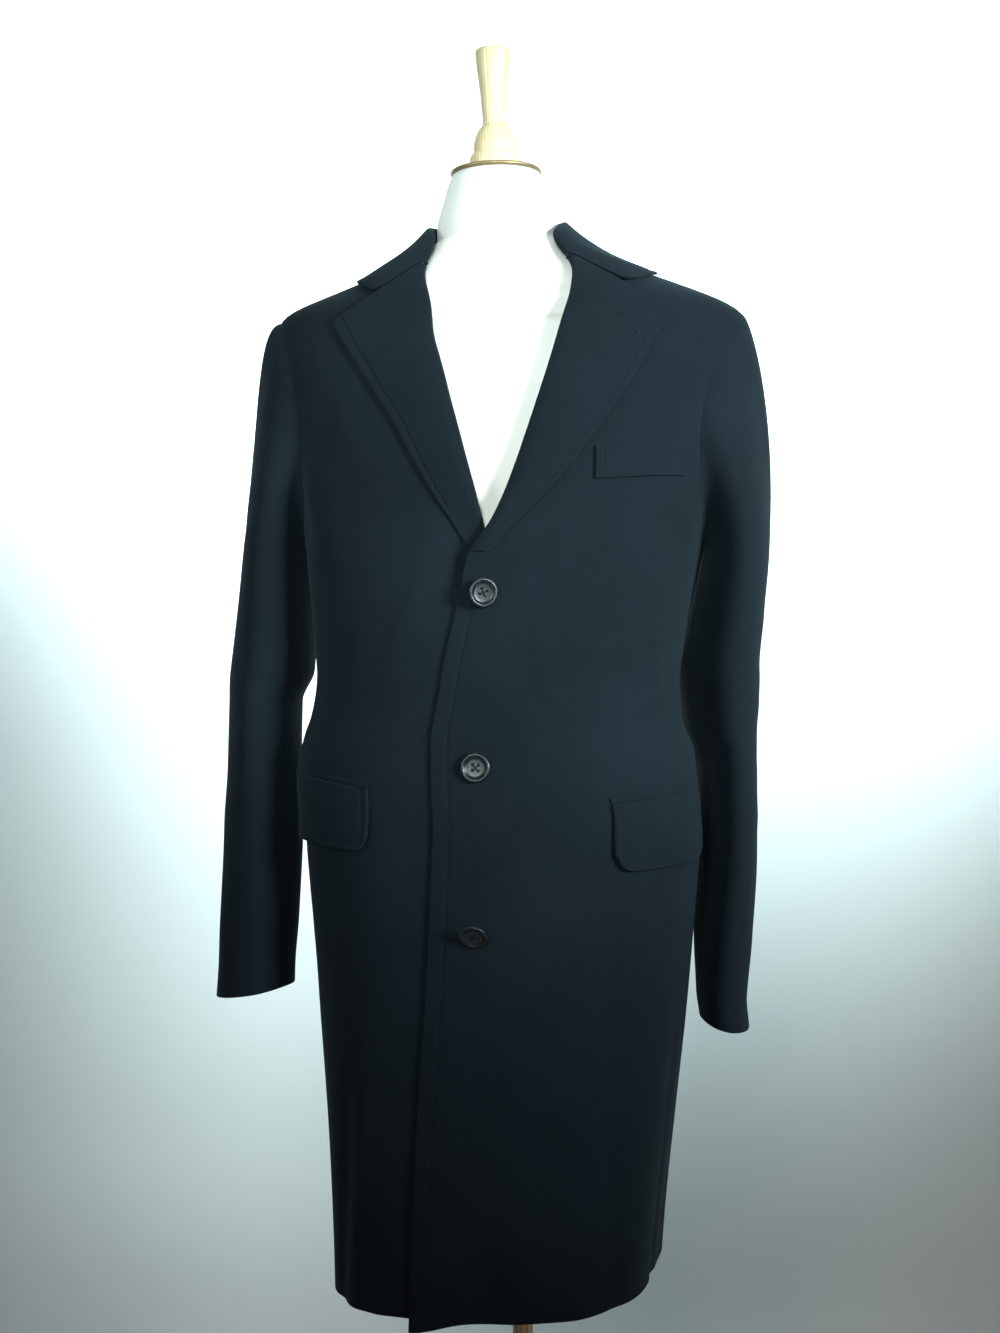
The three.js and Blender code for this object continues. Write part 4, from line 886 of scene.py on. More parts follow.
def lapel_width(side, up):
    """Straight distance from the roll line to the outer edge."""
    roll_angle, roll_z, edge_angle, edge_z = along_table(LAPELS[side], up)
    return np.linalg.norm(coat_surface(roll_angle, roll_z) - coat_surface(edge_angle, edge_z), axis=-1)


def lapel(side):
    """The facing seen across: a strip behind the front, a half circle round the roll line, and
    the face, lifted most near the roll and channelled beside its outer edge."""
    up = np.linspace(0, 9, 110)[:, None]
    length = lapel_width(side, up)
    small = np.minimum(1, length / LAPEL_FULL_WIDTH)
    radius = 1.5 * WALL + LAPEL_GAP
    middle = radius
    turned_in = np.maximum(LAPEL_TURN_IN * small, middle + 0.001)
    behind = blend(turned_in, middle, np.array([0, 0.35, 0.7])[None, :])
    bend = np.radians(np.linspace(-90, 90, 15))[None, :]
    flat = LAPEL_FLAT * small
    to_flat = blend(middle, length - flat, np.linspace(0, 1, 30)[None, 1:])
    beside_edge = length - flat * np.linspace(1, 0, 20)[None, 1:]
    face = np.concatenate([to_flat, beside_edge], 1)
    face_share = np.clip((face - middle) / (length - middle), 0, 1)
    lift = LAPEL_LIFT * small * np.sin(np.pi * face_share ** 0.6)
    lift = lift + channel(length - face, EDGE_CHANNEL_AT * small)
    points = np.concatenate([
        lapel_place(side, up, behind, -WALL / 2 - radius),
        lapel_place(side, up, middle - radius * np.cos(bend), -WALL / 2 + radius * np.sin(bend)),
        lapel_place(side, up, face, -WALL / 2 + radius, lift),
    ], 1)
    return points if side == "left" else points[:, ::-1]


cloth("left_lapel", lapel("left"), "lapel_left", (0.145, 0.33), 0.0255, "folded", ["left_front"])
cloth("right_lapel", lapel("right"), "lapel_right", (0.135, 0.33), 0.0245, "folded", ["right_front"])

# The collar: one strip, cut on the curve. Its stand goes up round the neck, it turns over
# and its fall lies down on the shoulders as far as the two notches.
COLLAR = np.array([
    # along, roll angle, roll z, middle angle, middle z, middle out, edge angle, edge z, stand
    [0, -45.6, 1.4455, -58.4, 1.4135, 0.0050, -67.5, 1.4235, 0.002],
    [1, -49.0, 1.4600, -62.0, 1.4320, 0.0070, -75.0, 1.4300, 0.010],
    [2, -56.0, 1.4770, -72.0, 1.4490, 0.0080, -84.0, 1.4380, 0.018],
    [3, -78.0, 1.4900, -90.0, 1.4610, 0.0080, -98.0, 1.4450, 0.026],
    [4, -112.0, 1.4970, -120.0, 1.4690, 0.0070, -124.0, 1.4500, 0.033],
    [5, -145.0, 1.5000, -150.0, 1.4730, 0.0060, -152.0, 1.4500, 0.036],
    [6, -180.0, 1.5010, -180.0, 1.4740, 0.0055, -180.0, 1.4500, 0.037],
    [7, -215.0, 1.5000, -210.0, 1.4730, 0.0060, -208.0, 1.4500, 0.036],
    [8, -248.0, 1.4960, -240.0, 1.4670, 0.0070, -236.0, 1.4480, 0.032],
    [9, -282.0, 1.4860, -270.0, 1.4500, 0.0045, -262.0, 1.4380, 0.022],
    [10, -300.0, 1.4730, -287.0, 1.4400, 0.0060, -276.5, 1.4300, 0.016],
    [11, -304.0, 1.4600, -294.0, 1.4310, 0.0090, -282.5, 1.4270, 0.010],
    [12, -306.2, 1.4475, -297.9, 1.4160, 0.0077, -284.8, 1.4250, 0.002],
])
COLLAR_EDGE_OUT = WALL / 2 + REST_GAP
COLLAR_ROLL_OUT = 0.0022


def through(guides, share):
    """Curves through rows of guide points: cubics whose slopes weigh both neighbours by the
    square roots of the distances to them, so that they don't overshoot."""
    step = np.sqrt(np.linalg.norm(np.diff(guides, axis=0), axis=-1))[..., None]
    rise = np.diff(guides, axis=0) / step
    inner = (step[1:] * rise[:-1] + step[:-1] * rise[1:]) / (step[1:] + step[:-1])
    slope = np.concatenate([rise[:1], inner, rise[-1:]])
    i = np.clip(np.floor(share).astype(int), 0, len(guides) - 2)
    t = (share - i)[:, None, None]
    value = (1 + 2 * t) * (1 - t) ** 2 * guides[i] + t * t * (3 - 2 * t) * guides[i + 1]
    bending = t * (1 - t) ** 2 * slope[i] + t * t * (t - 1) * slope[i + 1]
    return value + step[i] * bending


def collar():
    """Each section goes through five places: the foot of the stand, just under the roll, the
    roll, the middle of the fall and its edge; the grid is half a thickness outside them."""
    along = np.linspace(12, 0, 170)
    roll_angle, roll_z, mid_angle, mid_z, mid_out, edge_angle, edge_z, stand = along_table(COLLAR, along)
    guides = np.stack([
        coat_point(roll_angle, roll_z - stand, np.full(len(along), -WALL / 2)),
        coat_point(roll_angle, roll_z - 0.004, np.full(len(along), -WALL / 2)),
        coat_point(roll_angle, roll_z - 0.002, np.full(len(along), COLLAR_ROLL_OUT)),
        coat_point(mid_angle, mid_z, mid_out),
        coat_point(edge_angle, edge_z, np.full(len(along), COLLAR_EDGE_OUT)),
    ])
    share = np.concatenate([
        np.linspace(0, 1, 6), np.linspace(1, 2, 8)[1:], np.linspace(2, 3.3, 12)[1:],
        np.linspace(3.3, 4, 16)[1:]])
    middle = through(guides, share)
    over = np.gradient(middle, axis=0)
    beside = np.gradient(middle, axis=1)
    normal = np.cross(over, beside)
    normal /= np.linalg.norm(normal, axis=-1, keepdims=True)
    from_edge = np.linalg.norm(middle - middle[-1:], axis=-1)
    out = WALL / 2 + np.where(share[:, None] > 2.5, channel(from_edge, EDGE_CHANNEL_AT), 0)
    return (middle + normal * out[..., None])[::-1]


collar_points = collar()
cloth("collar_strip", collar_points, "collar", (0.46, 0.14), 0.0425, "folded", ["left_back", "right_back"])

# The sleeves: two pieces each, a wide one outside and a narrow one under the arm. Each row is
# a level section, and the head goes out over the shoulder from the armhole.
SLEEVES = {
    "right": np.array([
        # z, x, y, half width, half depth, turn, slope
        [0.731, -0.2618, -0.024, 0.0395, 0.056, 14, 0.15],
        [0.755, -0.2611, -0.020, 0.0390, 0.058, 14, 0.10],
        [0.802, -0.2593, -0.013, 0.0400, 0.061, 12, 0.04],
        [0.895, -0.2566, 0.000, 0.0400, 0.067, 10, 0.00],
        [0.957, -0.2563, 0.007, 0.0370, 0.071, 9, 0.00],
        [1.020, -0.2560, 0.016, 0.0368, 0.075, 9, 0.00],
        [1.050, -0.2497, 0.020, 0.0428, 0.077, 9, 0.00],
        [1.135, -0.2408, 0.017, 0.0370, 0.083, 6, 0.00],
    ]),
    "left": np.array([
        # z, x, y, half width, half depth, turn, slope
        [0.695, 0.2060, 0.024, 0.0243, 0.062, -7, -0.20],
        [0.720, 0.2034, 0.030, 0.0247, 0.063, -9, -0.12],
        [0.778, 0.2044, 0.045, 0.0263, 0.066, -15, -0.04],
        [0.866, 0.2092, 0.058, 0.0248, 0.070, -19, 0.00],
        [0.940, 0.2104, 0.062, 0.0258, 0.073, -19, 0.00],
        [0.990, 0.2059, 0.062, 0.0334, 0.076, -19, 0.00],
        [1.040, 0.2062, 0.056, 0.0378, 0.079, -18, 0.00],
        [1.090, 0.2144, 0.046, 0.0354, 0.083, -15, 0.00],
        [1.135, 0.2230, 0.037, 0.0334, 0.086, -12, 0.00],
    ]),
}
SLEEVE_SQUARE = 1.9
SLEEVE_HEAD_OUT = {"left": 0.010, "right": 0.032}
SLEEVE_HEAD_RISE = 0.006
SLEEVE_UNDER_OUT = 0.0045
ARMHOLE_TUCK = 0.0012
ARMHOLE_TUCK_TURN = 0.4
FRONT_SLEEVE_SEAM = 126.0
BACK_SLEEVE_SEAM = -108.0
SLEEVE_SEAM_TURN = 0.06
SLEEVE_LEAD = 0.030
SLEEVE_LEAD_SHARE = 0.55
SLEEVE_FOLDS = {
    "right": np.array([
        # height, turn, half height, half turn, rise for each degree, rise
        [1.060, 96, 0.011, 34, 0.0006, 0.0016],
        [1.022, 104, 0.009, 30, 0.0004, -0.0018],
        [0.990, 98, 0.010, 32, 0.0002, 0.0020],
        [0.955, 108, 0.008, 26, -0.0002, -0.0014],
        [0.918, 100, 0.009, 24, -0.0004, 0.0012],
        [0.868, 86, 0.012, 28, -0.0005, -0.0010],
        [1.080, -70, 0.012, 30, 0.0005, -0.0014],
        [1.030, -78, 0.010, 34, 0.0003, 0.0016],
        [0.940, -64, 0.011, 28, -0.0004, 0.0013],
        [0.840, -60, 0.012, 26, -0.0006, -0.0010],
        [1.215, 70, 0.014, 26, 0.0010, -0.0012],
        [1.245, 20, 0.040, 15, 0.0000, 0.0010],
        [0.800, 40, 0.050, 12, 0.0000, 0.0012],
        [1.180, -40, 0.030, 16, 0.0004, -0.0012],
        # the pressed crease down the front, and the hollow inside it
        [0.830, 92, 0.130, 9, 0.0000, 0.0030],
        [0.840, 128, 0.130, 20, 0.0000, -0.0022],
        [1.020, 84, 0.090, 10, 0.0000, 0.0018],
    ]),
    "left": np.array([
        # height, turn, half height, half turn, rise for each degree, rise
        [1.070, 88, 0.010, 30, -0.0005, 0.0014],
        [1.036, 98, 0.009, 33, -0.0003, -0.0017],
        [1.000, 92, 0.011, 28, -0.0001, 0.0018],
        [0.962, 104, 0.008, 30, 0.0002, -0.0015],
        [0.905, 84, 0.012, 26, 0.0004, 0.0011],
        [1.090, -66, 0.012, 32, -0.0004, 0.0013],
        [1.045, -74, 0.009, 30, -0.0002, -0.0015],
        [0.965, -80, 0.011, 34, 0.0003, 0.0015],
        [0.850, -58, 0.014, 26, 0.0005, -0.0011],
        [1.230, 64, 0.014, 24, -0.0009, -0.0012],
        [0.820, 62, 0.110, 9, 0.0000, 0.0018],
        [0.790, 30, 0.080, 12, 0.0000, -0.0010],
        [1.200, -30, 0.035, 15, -0.0003, -0.0010],
        # the pressed crease down the front, and the hollow inside it
        [0.860, 100, 0.130, 9, 0.0000, 0.0022],
        [0.860, 132, 0.130, 18, 0.0000, -0.0016],
    ]),
}


def sleeve_section(side, z, around):
    """A level superellipse for each height, turned about its middle and sloped across. The
    turn starts at the outer side; 90 is the front and 180 the side at the body."""
    sign = 1 if side == "left" else -1
    x, y, wide, deep, twist, slope = along_table(SLEEVES[side], z)
    cosine, sine = np.cos(np.radians(around)), np.sin(np.radians(around))
    oval = np.abs(cosine / wide) ** SLEEVE_SQUARE + np.abs(sine / deep) ** SLEEVE_SQUARE
    reach = oval ** (-1 / SLEEVE_SQUARE)
    local_x, local_y = sign * reach * cosine, -reach * sine
    twist = np.radians(-sign * twist)
    turned_x = local_x * np.cos(twist) - local_y * np.sin(twist)
    turned_y = local_x * np.sin(twist) + local_y * np.cos(twist)
    return np.stack(np.broadcast_arrays(x + turned_x, y + turned_y, z + slope * turned_x), -1)


def armhole_point(side, around):
    """A point of the sleeve's seam in the armhole, tucked a little under the coat's edge."""
    sign = 1 if side == "left" else -1
    middle = (UNDERARM_HEIGHT + SHOULDER_TIP_HEIGHT) / 2
    half = (SHOULDER_TIP_HEIGHT - UNDERARM_HEIGHT) / 2 + ARMHOLE_TUCK
    sine, cosine = np.sin(np.radians(around)), np.cos(np.radians(around))
    open_by = np.where(sine > 0, ARMHOLE_FRONT, ARMHOLE_BACK) + ARMHOLE_TUCK_TURN
    return coat_point(sign * (SIDE_SEAM - open_by * sine), middle + half * cosine, -ARMHOLE_TUCK)


def sleeve_head(side, share, around):
    """Cubic curves from the armhole, out over the shoulder and down to the first section."""
    sign = 1 if side == "left" else -1
    foot = SLEEVES[side][-1, 0]
    start = armhole_point(side, around)
    end = sleeve_section(side, foot, around)
    below = sleeve_section(side, foot - SLEEVE_LEAD, around)
    topness = (1 + np.cos(np.radians(around))) / 2
    out = blend(SLEEVE_UNDER_OUT, SLEEVE_HEAD_OUT[side], topness)
    leave = start + np.stack(np.broadcast_arrays(sign * out, 0, SLEEVE_HEAD_RISE * topness), -1)
    drop = SLEEVE_LEAD_SHARE * np.abs(start[..., 2] - end[..., 2]) / SLEEVE_LEAD
    arrive = end + (end - below) * drop[..., None]
    t = share[..., None]
    return ((1 - t) ** 3 * start + 3 * t * (1 - t) ** 2 * leave
            + 3 * t * t * (1 - t) * arrive + t ** 3 * end)


def sleeve_rise(side, z, around):
    """The sum of a sleeve's folds: each is a bell in height and in turn, and slants."""
    total = np.zeros(np.broadcast(z, around).shape)
    for height, turn, half_height, half_turn, slant, rise in SLEEVE_FOLDS[side]:
        off = (around - turn + 540) % 360 - 180
        above = z - height - slant * off
        total = total + rise * np.exp(-((above / half_height) ** 2) - (off / half_turn) ** 2)
    return total


def sleeve_part(side, around):
    """The head's rows and then the level ones, moved out along the tube's normal by the
    folds; the normal is the cross product of steps round the tube and down it."""
    around = around[None, :]
    share = (np.linspace(0, 1, 42)[:-1] ** 1.35)[:, None]
    z = np.linspace(SLEEVES[side][-1, 0], SLEEVES[side][0, 0], 96)[:, None]

    def tube(turn):
        return np.concatenate([
            sleeve_head(side, share, turn), sleeve_section(side, z, turn)])

    points = tube(around)
    sign = 1 if side == "left" else -1
    normal = sign * np.cross(tube(around + 2) - tube(around - 2), np.gradient(points, axis=0))
    normal /= np.linalg.norm(normal, axis=-1, keepdims=True)
    below_head = np.linspace(0, 1, len(share))[:, None] ** 2
    fade = np.concatenate([below_head, np.ones_like(z)])
    points = points + normal * (fade * sleeve_rise(side, points[..., 2], around))[..., None]
    return points[::-1] if side == "left" else points[::-1, ::-1]


def sleeve_turns(start, end, count):
    """Even turns between two seams, in from each by its share of the gap."""
    return np.linspace(start + SLEEVE_SEAM_TURN, end - SLEEVE_SEAM_TURN, count)


for side in ("left", "right"):
    over = sleeve_part(side, sleeve_turns(BACK_SLEEVE_SEAM, FRONT_SLEEVE_SEAM, 78))
    under = sleeve_part(side, sleeve_turns(FRONT_SLEEVE_SEAM, BACK_SLEEVE_SEAM + 360, 42))
    armhole = [f"{side}_front", f"{side}_back"]
    cloth(f"{side}_topsleeve", over[:, ::-1], f"topsleeve_{side}", (0.30, 0.71), 0.162,
          "hung", armhole, lined=True)
    cloth(f"{side}_undersleeve", under[:, ::-1], f"undersleeve_{side}", (0.14, 0.55), 0.049,
          "hung", armhole, lined=True)

# The hip pockets: a flap of two layers hangs over each, its lower corners rounded, from under
# a narrow jet of folded cloth. The breast pocket has a welt sewn down at both ends.
JET_GAP = 0.00045
JET_THICK = 0.0016
JET_HIGH = 0.0055
FLAP_THICK = 0.0030
FLAP_STAND_OFF = 0.0045
FLAP_CORNER = 0.015
FLAP_CHANNEL_AT = 0.006
JOINT_AT = 0.0004
POCKETS = {
    # angles of both ends, heights of the top and of the foot at both
    "right": (-38, -82, 0.938, 0.954, 0.879, 0.889),
    "left": (46, 81, 0.920, 0.928, 0.858, 0.862),
}
FLAP_CUTS = {"right": ((0.152, 0.067), 0.0100), "left": ((0.122, 0.069), 0.0083)}
JET_CUTS = {"right": ((0.150, 0.012), 0.00097), "left": ((0.120, 0.012), 0.00079)}
WELT = (40.8, 66.4, 1.255, 1.261, 1.224, 1.229)


def patch_length(sizes):
    """Straight length of a patch's top."""
    start, end, top_start, top_end, _, _ = sizes
    return np.linalg.norm(coat_surface(start, top_start) - coat_surface(end, top_end))


def patch_point(sizes, along, above, out):
    """A place on a patch by its distance along and its height above the foot's line."""
    start, end, _, _, foot_start, foot_end = sizes
    share = along / patch_length(sizes)
    return coat_point(blend(start, end, share), blend(foot_start, foot_end, share) + above, out)


def laid(sizes, corner, shape, rows=28, columns=72):
    """A patch between two angles whose lower corners are quarter circles. Its rows go up and
    its columns are closest at both ends; shape gives how far out each place is from its share
    of the height, its distance from the nearest end and its distance from the outline."""
    start, end, top_start, top_end, foot_start, foot_end = sizes
    length = patch_length(sizes)
    along = length * (0.5 - 0.5 * np.cos(np.linspace(0, np.pi, columns)))[None, :]
    near = np.minimum(along, length - along)
    cut = np.where(near < corner, corner - np.sqrt(np.maximum(corner ** 2 - (corner - near) ** 2, 0)), 0)
    high = blend(top_start, top_end, along / length) - blend(foot_start, foot_end, along / length)
    up = (1 - np.cos(np.linspace(0, np.pi / 2, rows)) ** 1.3)[:, None]
    above = cut + (high - cut) * up
    slant = np.gradient(cut[0], along[0])[None, :]
    from_outline = np.minimum((above - cut) / np.sqrt(1 + slant ** 2), near)
    points = patch_point(sizes, along, above, shape(up, near, from_outline))
    return points if end > start else points[:, ::-1]


for side in ("left", "right"):
    pocket = POCKETS[side]
    flap = laid(pocket, FLAP_CORNER, lambda up, near, edge: (
        FLAP_THICK + blend(FLAP_STAND_OFF, JET_GAP, up) + channel(edge, FLAP_CHANNEL_AT)))
    cloth(f"{side}_flap", flap, f"flap_{side}", *FLAP_CUTS[side], "hung", [f"{side}_front"], thick=FLAP_THICK)
    start, end, top_start, top_end, _, _ = pocket
    jet = laid((start, end, top_start + JOINT_AT + JET_HIGH, top_end + JOINT_AT + JET_HIGH,
                top_start + JOINT_AT, top_end + JOINT_AT), 0, lambda up, near, edge: (
        JET_GAP + JET_THICK * (0.72 + 0.28 * np.sqrt(1 - (2 * up - 1) ** 2)) + 0 * edge), rows=10)
    cloth(f"{side}_jet", jet, f"jet_{side}", *JET_CUTS[side], "laid", [f"{side}_front"], thick=JET_THICK)

welt = laid(WELT, 0, lambda up, near, edge: REST_GAP + WALL + channel(near, 0.003) + channel(near, 0.007))
cloth("chest_welt", welt, "breast_welt", (0.097, 0.033), 0.0031, "laid", ["left_front"])

# The sewing that shows: a row of short stitches lies in each channel, along the front edge,
# the lapels, the collar and the flaps, in twisted thread of the cloth's colour.
STITCH_LONG = 0.0019
STITCH_STEP = 0.0029
STITCH_RADIUS = 0.00024


def sewing_thread():
    """Twisted silk thread: fine slanting ridges round it, and a soft gloss."""
    made = material("sewing_thread", 0.7, Specular_IOR_Level=0.1)
    twist = texture(made, "Noise", mapped(made, "Object"), Scale=2600.0)
    coloured(made, twist, (0.0020, 0.0034, 0.0050), (0.0060, 0.0090, 0.0125))
    raised(made, twist, 0.4, 0.0001)
    return made


thread = sewing_thread()


def unit(vectors):
    """Vectors scaled to a length of one."""
    return vectors / np.linalg.norm(vectors, axis=-1, keepdims=True)


def even_steps(line, step):
    """Places at even steps along a line of points, and the directions that it has there."""
    far = np.concatenate([[0], np.cumsum(np.linalg.norm(np.diff(line, axis=0), axis=-1))])
    at = np.arange(step / 2, far[-1], step)
    places = np.stack([np.interp(at, far, axis) for axis in line.T], -1)
    ahead = np.stack([np.interp(at + step / 4, far, axis) for axis in line.T], -1)
    return places, unit(ahead - places + 1e-12)


def stitches(name, line, normals):
    """A row of stitches along a line on the cloth, each a spindle half sunk in it: rings round
    the stitch whose radius is the root of one less the square of the share along it."""
    places, along = even_steps(line, STITCH_STEP)
    nearest = np.linalg.norm(line[None] - places[:, None], axis=-1).argmin(1)
    outward = unit(normals[nearest])
    across = unit(np.cross(outward, along))
    share = np.array([-0.98, -0.7, -0.25, 0.25, 0.7, 0.98])[None, :, None, None]
    turn = np.radians(np.arange(0, 360, 60))[None, None, :, None]
    radius = STITCH_RADIUS * np.sqrt(1 - share ** 2)
    points = (places[:, None, None] + along[:, None, None] * share * STITCH_LONG / 2
              + outward[:, None, None] * (radius * np.sin(turn) + STITCH_RADIUS / 3)
              + across[:, None, None] * radius * np.cos(turn))
    count, rings, around, _ = points.shape
    one = grid_faces(rings, around, closed=True)[:, ::-1]
    sides = (one[None] + (np.arange(count) * rings * around)[:, None, None]).reshape(-1, 4).tolist()
    low = np.arange(count)[:, None] * rings * around + np.arange(around)[None, :]
    ends = low.tolist() + (low + (rings - 1) * around)[:, ::-1].tolist()
    mesh = bpy.data.meshes.new(name)
    mesh.from_pydata(points.reshape(-1, 3).tolist(), [], sides + ends)
    mesh.shade_smooth()
    made = bpy.data.objects.new(name, mesh)
    bpy.context.scene.collection.objects.link(made)
    made.data.materials.append(thread)
    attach(made, "root")
    return made


def grid_normals(points):
    """Outward normals of a grid whose columns go from the wearer's right to the left."""
    return unit(np.cross(np.gradient(points, axis=1), np.gradient(points, axis=0)))


def line_where(points, distance, at):
    """In each row of a grid, the place where a distance from the edge has a value, and the
    normal there; the distance falls or grows steadily along the part of the row it is in."""
    normals = grid_normals(points)
    line, outward = [], []
    for row, normal, far in zip(points, normals, distance):
        order = np.argsort(far)
        line.append([np.interp(at, far[order], axis[order]) for axis in row.T])
        outward.append([np.interp(at, far[order], axis[order]) for axis in normal.T])
    return np.array(line), np.array(outward)


front = front_panel("left")
row_length = np.linalg.norm(np.diff(front, axis=1), axis=-1)
from_edge = np.concatenate([np.zeros((len(front), 1)), np.cumsum(row_length, 1)], 1)
line, outward = line_where(front, from_edge, FRONT_CHANNEL_AT)
low = (line[:, 2] > HEM_HEIGHT + 0.012) & (line[:, 2] < BREAK_HEIGHT - 0.028)
stitches("front_stitches", line[low], outward[low])

for side in ("left", "right"):
    strip = lapel(side)
    outer = strip if side == "right" else strip[:, ::-1]
    steps = np.linalg.norm(np.diff(outer, axis=1), axis=-1)
    from_edge = np.concatenate([np.zeros((len(outer), 1)), np.cumsum(steps, 1)], 1)
    line, outward = line_where(outer, from_edge, EDGE_CHANNEL_AT)
    turned_back = -1 if side == "left" else 1
    stitches(f"{side}_lapel_stitches", line[16:-3], turned_back * outward[16:-3])

steps = np.linalg.norm(np.diff(collar_points, axis=0), axis=-1)
from_edge = np.concatenate([np.zeros((1, collar_points.shape[1])), np.cumsum(steps, 0)], 0)
line, outward = line_where(collar_points.transpose(1, 0, 2), from_edge.T, EDGE_CHANNEL_AT)
stitches("collar_stitches", line[4:-4], -outward[4:-4])

for side in ("left", "right"):
    pocket = POCKETS[side]
    length = patch_length(pocket)
    high = pocket[2] - pocket[4]
    round_turn = np.radians(np.linspace(0, 90, 12))
    inner = FLAP_CORNER - FLAP_CHANNEL_AT
    rise = np.linspace(high - 0.004, FLAP_CORNER, 20)
    run = np.linspace(FLAP_CORNER, length - FLAP_CORNER, 30)
    along = np.concatenate([
        np.full(20, FLAP_CHANNEL_AT), FLAP_CORNER - inner * np.cos(round_turn), run,
        length - FLAP_CORNER + inner * np.sin(round_turn), np.full(20, length - FLAP_CHANNEL_AT)])
    above = np.concatenate([
        rise, FLAP_CORNER - inner * np.sin(round_turn), np.full(30, FLAP_CHANNEL_AT),
        FLAP_CORNER - inner * np.cos(round_turn), rise[::-1]])
    stand_off = FLAP_THICK + blend(FLAP_STAND_OFF, JET_GAP, above / high) - CHANNEL_DEPTH
    line = patch_point(pocket, along, above, stand_off)
    outward = patch_point(pocket, along, above, stand_off + 0.001) - line
    stitches(f"{side}_flap_stitches", line, outward)

# The lapel's buttonhole: a slit whose edges are worked over with close stitches of thread that
# stand up as a ribbed cord. It slants down from the neck, just inside the lapel's corner.
HOLE_CORD = 0.00050
HOLE_WIDE = 0.0017
LAPEL_HOLE = [
    # place up the lapel of each end, and its share of the way from the roll to the outer edge
    (7.68, 0.62), (6.96, 0.845),
]


def worked_hole(name, centre, ahead, outward, length):
    """A cord round a long hole with half-round ends, ribbed by its stitches; the way round is
    cut in even steps, and a ring of the cord stands on each."""
    around = np.linspace(0, 2 * np.pi, 240, endpoint=False)
    straight = (length - HOLE_WIDE) / 2
    along = np.sign(np.cos(around)) * straight * np.minimum(1, 3 * np.abs(np.cos(around))) + (
        HOLE_WIDE / 2 * np.cos(around))
    aside = HOLE_WIDE / 2 * np.sin(around)
    over = unit(np.cross(outward, ahead))
    route = centre + along[:, None] * ahead + aside[:, None] * over
    heading = unit(np.roll(route, -1, 0) - np.roll(route, 1, 0))
    side_way = unit(np.cross(outward, heading))
    turn = np.radians(np.arange(0, 360, 45))
    radius = HOLE_CORD * (1 + 0.12 * np.where(np.arange(240) % 3 == 0, 1, -1))[:, None, None]
    points = (route[:, None] + side_way[:, None] * radius * np.cos(turn)[None, :, None]
              + outward * radius * np.sin(turn)[None, :, None])
    faces = grid_faces(len(points) + 1, len(turn), closed=True)
    made = mesh_object(name, points, faces % (points.shape[0] * points.shape[1]))
    made.data.shade_smooth()
    made.data.materials.append(thread)
    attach(made, "root")
    return made


def on_lapel(up, share, out):
    """A place on the left lapel's face, a share of the way from its roll to its outer edge."""
    lift = LAPEL_LIFT * np.sin(np.pi * share ** 0.6)
    distance = lapel_width("left", np.array([up])) * share
    return lapel_place("left", np.array([up]), distance, WALL + LAPEL_GAP + out, lift)[0]


first, last = (on_lapel(up, share, 0.0) for up, share in LAPEL_HOLE)
middle_up, middle_share = np.mean(LAPEL_HOLE, axis=0)
middle = on_lapel(middle_up, middle_share, 0.0)
outward = unit(on_lapel(middle_up, middle_share, 0.001) - middle)
worked_hole("lapel_buttonhole", middle, unit(last - first), outward, np.linalg.norm(last - first))

# The buttons: three dark glossy discs of horn with a rounded rim, a dished face and four
# holes, sewn on with a cross of thread and standing on wound shanks.
BUTTON_SIZE = 0.028
BUTTON_THICK = 0.0044
BUTTON_GAP = 0.0004
HOLE_RADIUS = 0.00115
HOLE_SPACING = 0.0027
PIT_FLOOR = 0.0006
BUTTONS = [
    # angle and height on the coat, tip downwards and to the side in degrees
    (2.7, 1.119, 6, 24),
    (2.4, 0.957, 4, 4),
    (0.8, 0.805, 42, -6),
]
BUTTON_RIM = np.array([
    [0.35, 0], [0.60, 0], [0.72, 0.02], [0.84, 0.12], [0.94, 0.30], [0.985, 0.45], [1.0, 0.60],
    [0.992, 0.76], [0.955, 0.91], [0.90, 0.985], [0.84, 1.0], [0.79, 0.95], [0.74, 0.84],
    [0.69, 0.69], [0.64, 0.59], [0.58, 0.545],
])


def horn():
    """Dark polished horn: faint cloudy streaks under a clear gloss, with fine scratches."""
    made = material("horn", 0.3, Specular_IOR_Level=0.3)
    place_on = mapped(made, "Object")
    streaks = texture(made, "Noise", place_on, Scale=160.0, Detail=5.0, Distortion=1.2)
    coloured(made, streaks, (0.002, 0.0025, 0.0035), (0.009, 0.010, 0.012), 0.35, 0.75)
    roughened(made, texture(made, "Noise", place_on, Scale=700.0), 0.26, 0.42)
    return made


def button_body():
    """Rings from the underside's middle over the rim to the face's middle. On the face each
    place within a hole's radius of one of the four centres is sunk to the hole's floor."""
    face = np.linspace(0.56, 0.02, 32)
    radius = np.concatenate([BUTTON_RIM[:, 0], face]) * BUTTON_SIZE / 2
    height = np.concatenate([BUTTON_RIM[:, 1], 0.5 + 0.04 * (face / 0.56) ** 4]) * BUTTON_THICK
    around = 96
    made = revolved("button", [(0, 0), *zip(radius, height), (0, 0.5 * BUTTON_THICK)], around)
    points = np.empty(3 * len(made.data.vertices))
    made.data.vertices.foreach_get("co", points)
    points = points.reshape(-1, 3)
    on_face = np.zeros(len(points), bool)
    on_face[len(BUTTON_RIM) * around:-2] = True
    off = np.abs(np.abs(points[:, :2]) - HOLE_SPACING)
    sunk = 1 - ease(0.82 * HOLE_RADIUS, 1.12 * HOLE_RADIUS, np.linalg.norm(off, axis=-1))
    points[:, 2] -= on_face * sunk * (points[:, 2] - PIT_FLOOR)
    return made, points


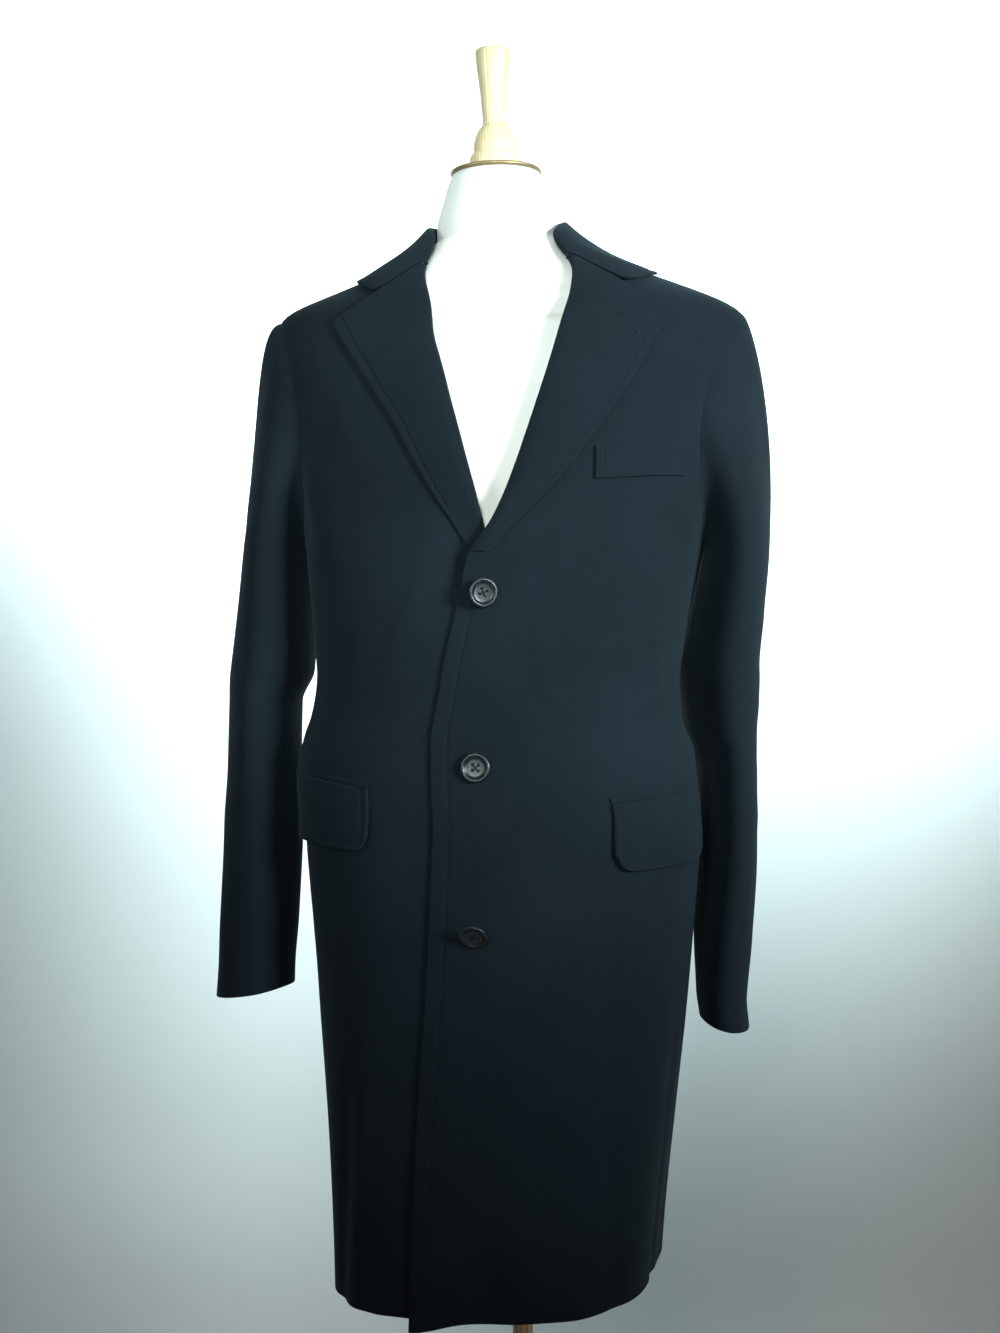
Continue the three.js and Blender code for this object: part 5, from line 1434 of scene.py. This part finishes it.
def tube(route, radius, around=10):
    """Rings of a tube round a route, square to it, and the faces that close its sides."""
    heading = unit(np.gradient(route, axis=0))
    beside = unit(np.cross(heading, np.array([0.31, 0.17, 0.94])))
    over = np.cross(heading, beside)
    turn = np.radians(np.arange(0, 360, 360 / around))[None, :, None]
    radius = np.broadcast_to(radius, len(route))[:, None, None]
    points = route[:, None] + beside[:, None] * radius * np.cos(turn) + over[:, None] * radius * np.sin(turn)
    return points.reshape(-1, 3), grid_faces(len(route), around, closed=True)


def button_threads(shank):
    """Four strands over the button's bridge in a cross, each an arch between two holes, and a
    shank below it wound round and round."""
    parts = []
    swing = np.linspace(0, np.pi, 15)
    for sign in (1, -1):
        for beside in (-0.00042, 0.0, 0.00042):
            way = np.array([1, sign]) / np.sqrt(2)
            off = np.array([-sign, 1]) / np.sqrt(2) * beside
            reach = HOLE_SPACING * np.sqrt(2) * np.cos(swing)[:, None] * way + off
            high = 0.30 * BUTTON_THICK + 0.0014 * np.sin(swing) ** 0.45 + (0.0002 if sign > 0 else 0)
            parts.append(tube(np.concatenate([reach, high[:, None]], 1), 0.00026))
    turns = np.linspace(0, 2 * np.pi * 7, 7 * 20)
    climb = np.linspace(-shank, 0.0002, len(turns))
    wound = np.stack([0.0014 * np.cos(turns), 0.0014 * np.sin(turns), climb], -1)
    parts.append(tube(wound, 0.0004, around=8))
    parts.append(tube(np.array([[0, 0, -shank - 0.0006], [0, 0, 0.0004]]), 0.0014, around=16))
    points, faces, first = [], [], 0
    for part_points, part_faces in parts:
        points.append(part_points)
        faces.append(part_faces + first)
        first += len(part_points)
    return np.concatenate(points), np.concatenate(faces)


dark_horn = horn()
for number, (angle, z, down, aside) in enumerate(BUTTONS, 1):
    seat = coat_surface(angle, z)
    normal = Vector(coat_point(angle, z, 0.001) - seat).normalized()
    tip_down = Matrix.Rotation(np.radians(down), 3, "X")
    tipped = Matrix.Rotation(np.radians(aside), 3, "Z") @ tip_down @ normal
    lean = normal.angle(tipped)
    rim_radius, rim_height = (BUTTON_RIM * (BUTTON_SIZE / 2, BUTTON_THICK)).T
    lowest = np.max(rim_radius * np.sin(lean) - rim_height * np.cos(lean))
    stand_off = BUTTON_GAP + lowest
    facing = np.array(Vector((0, 0, 1)).rotation_difference(tipped).to_matrix())
    middle = seat + np.array(normal) * stand_off
    button, points = button_body()
    button.name = f"horn_button_{number}"
    button.data.vertices.foreach_set("co", (points @ facing.T + middle).ravel())
    button.data.update()
    finished(button, f"button_{number}", dark_horn)
    points, faces = button_threads(max(stand_off - 0.0006, 0.0012))
    sewn = mesh_object(f"button_threads_{number}", points @ facing.T + middle, faces)
    sewn.data.shade_smooth()
    sewn.data.materials.append(thread)
    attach(sewn, "root")

bpy.context.view_layer.update()
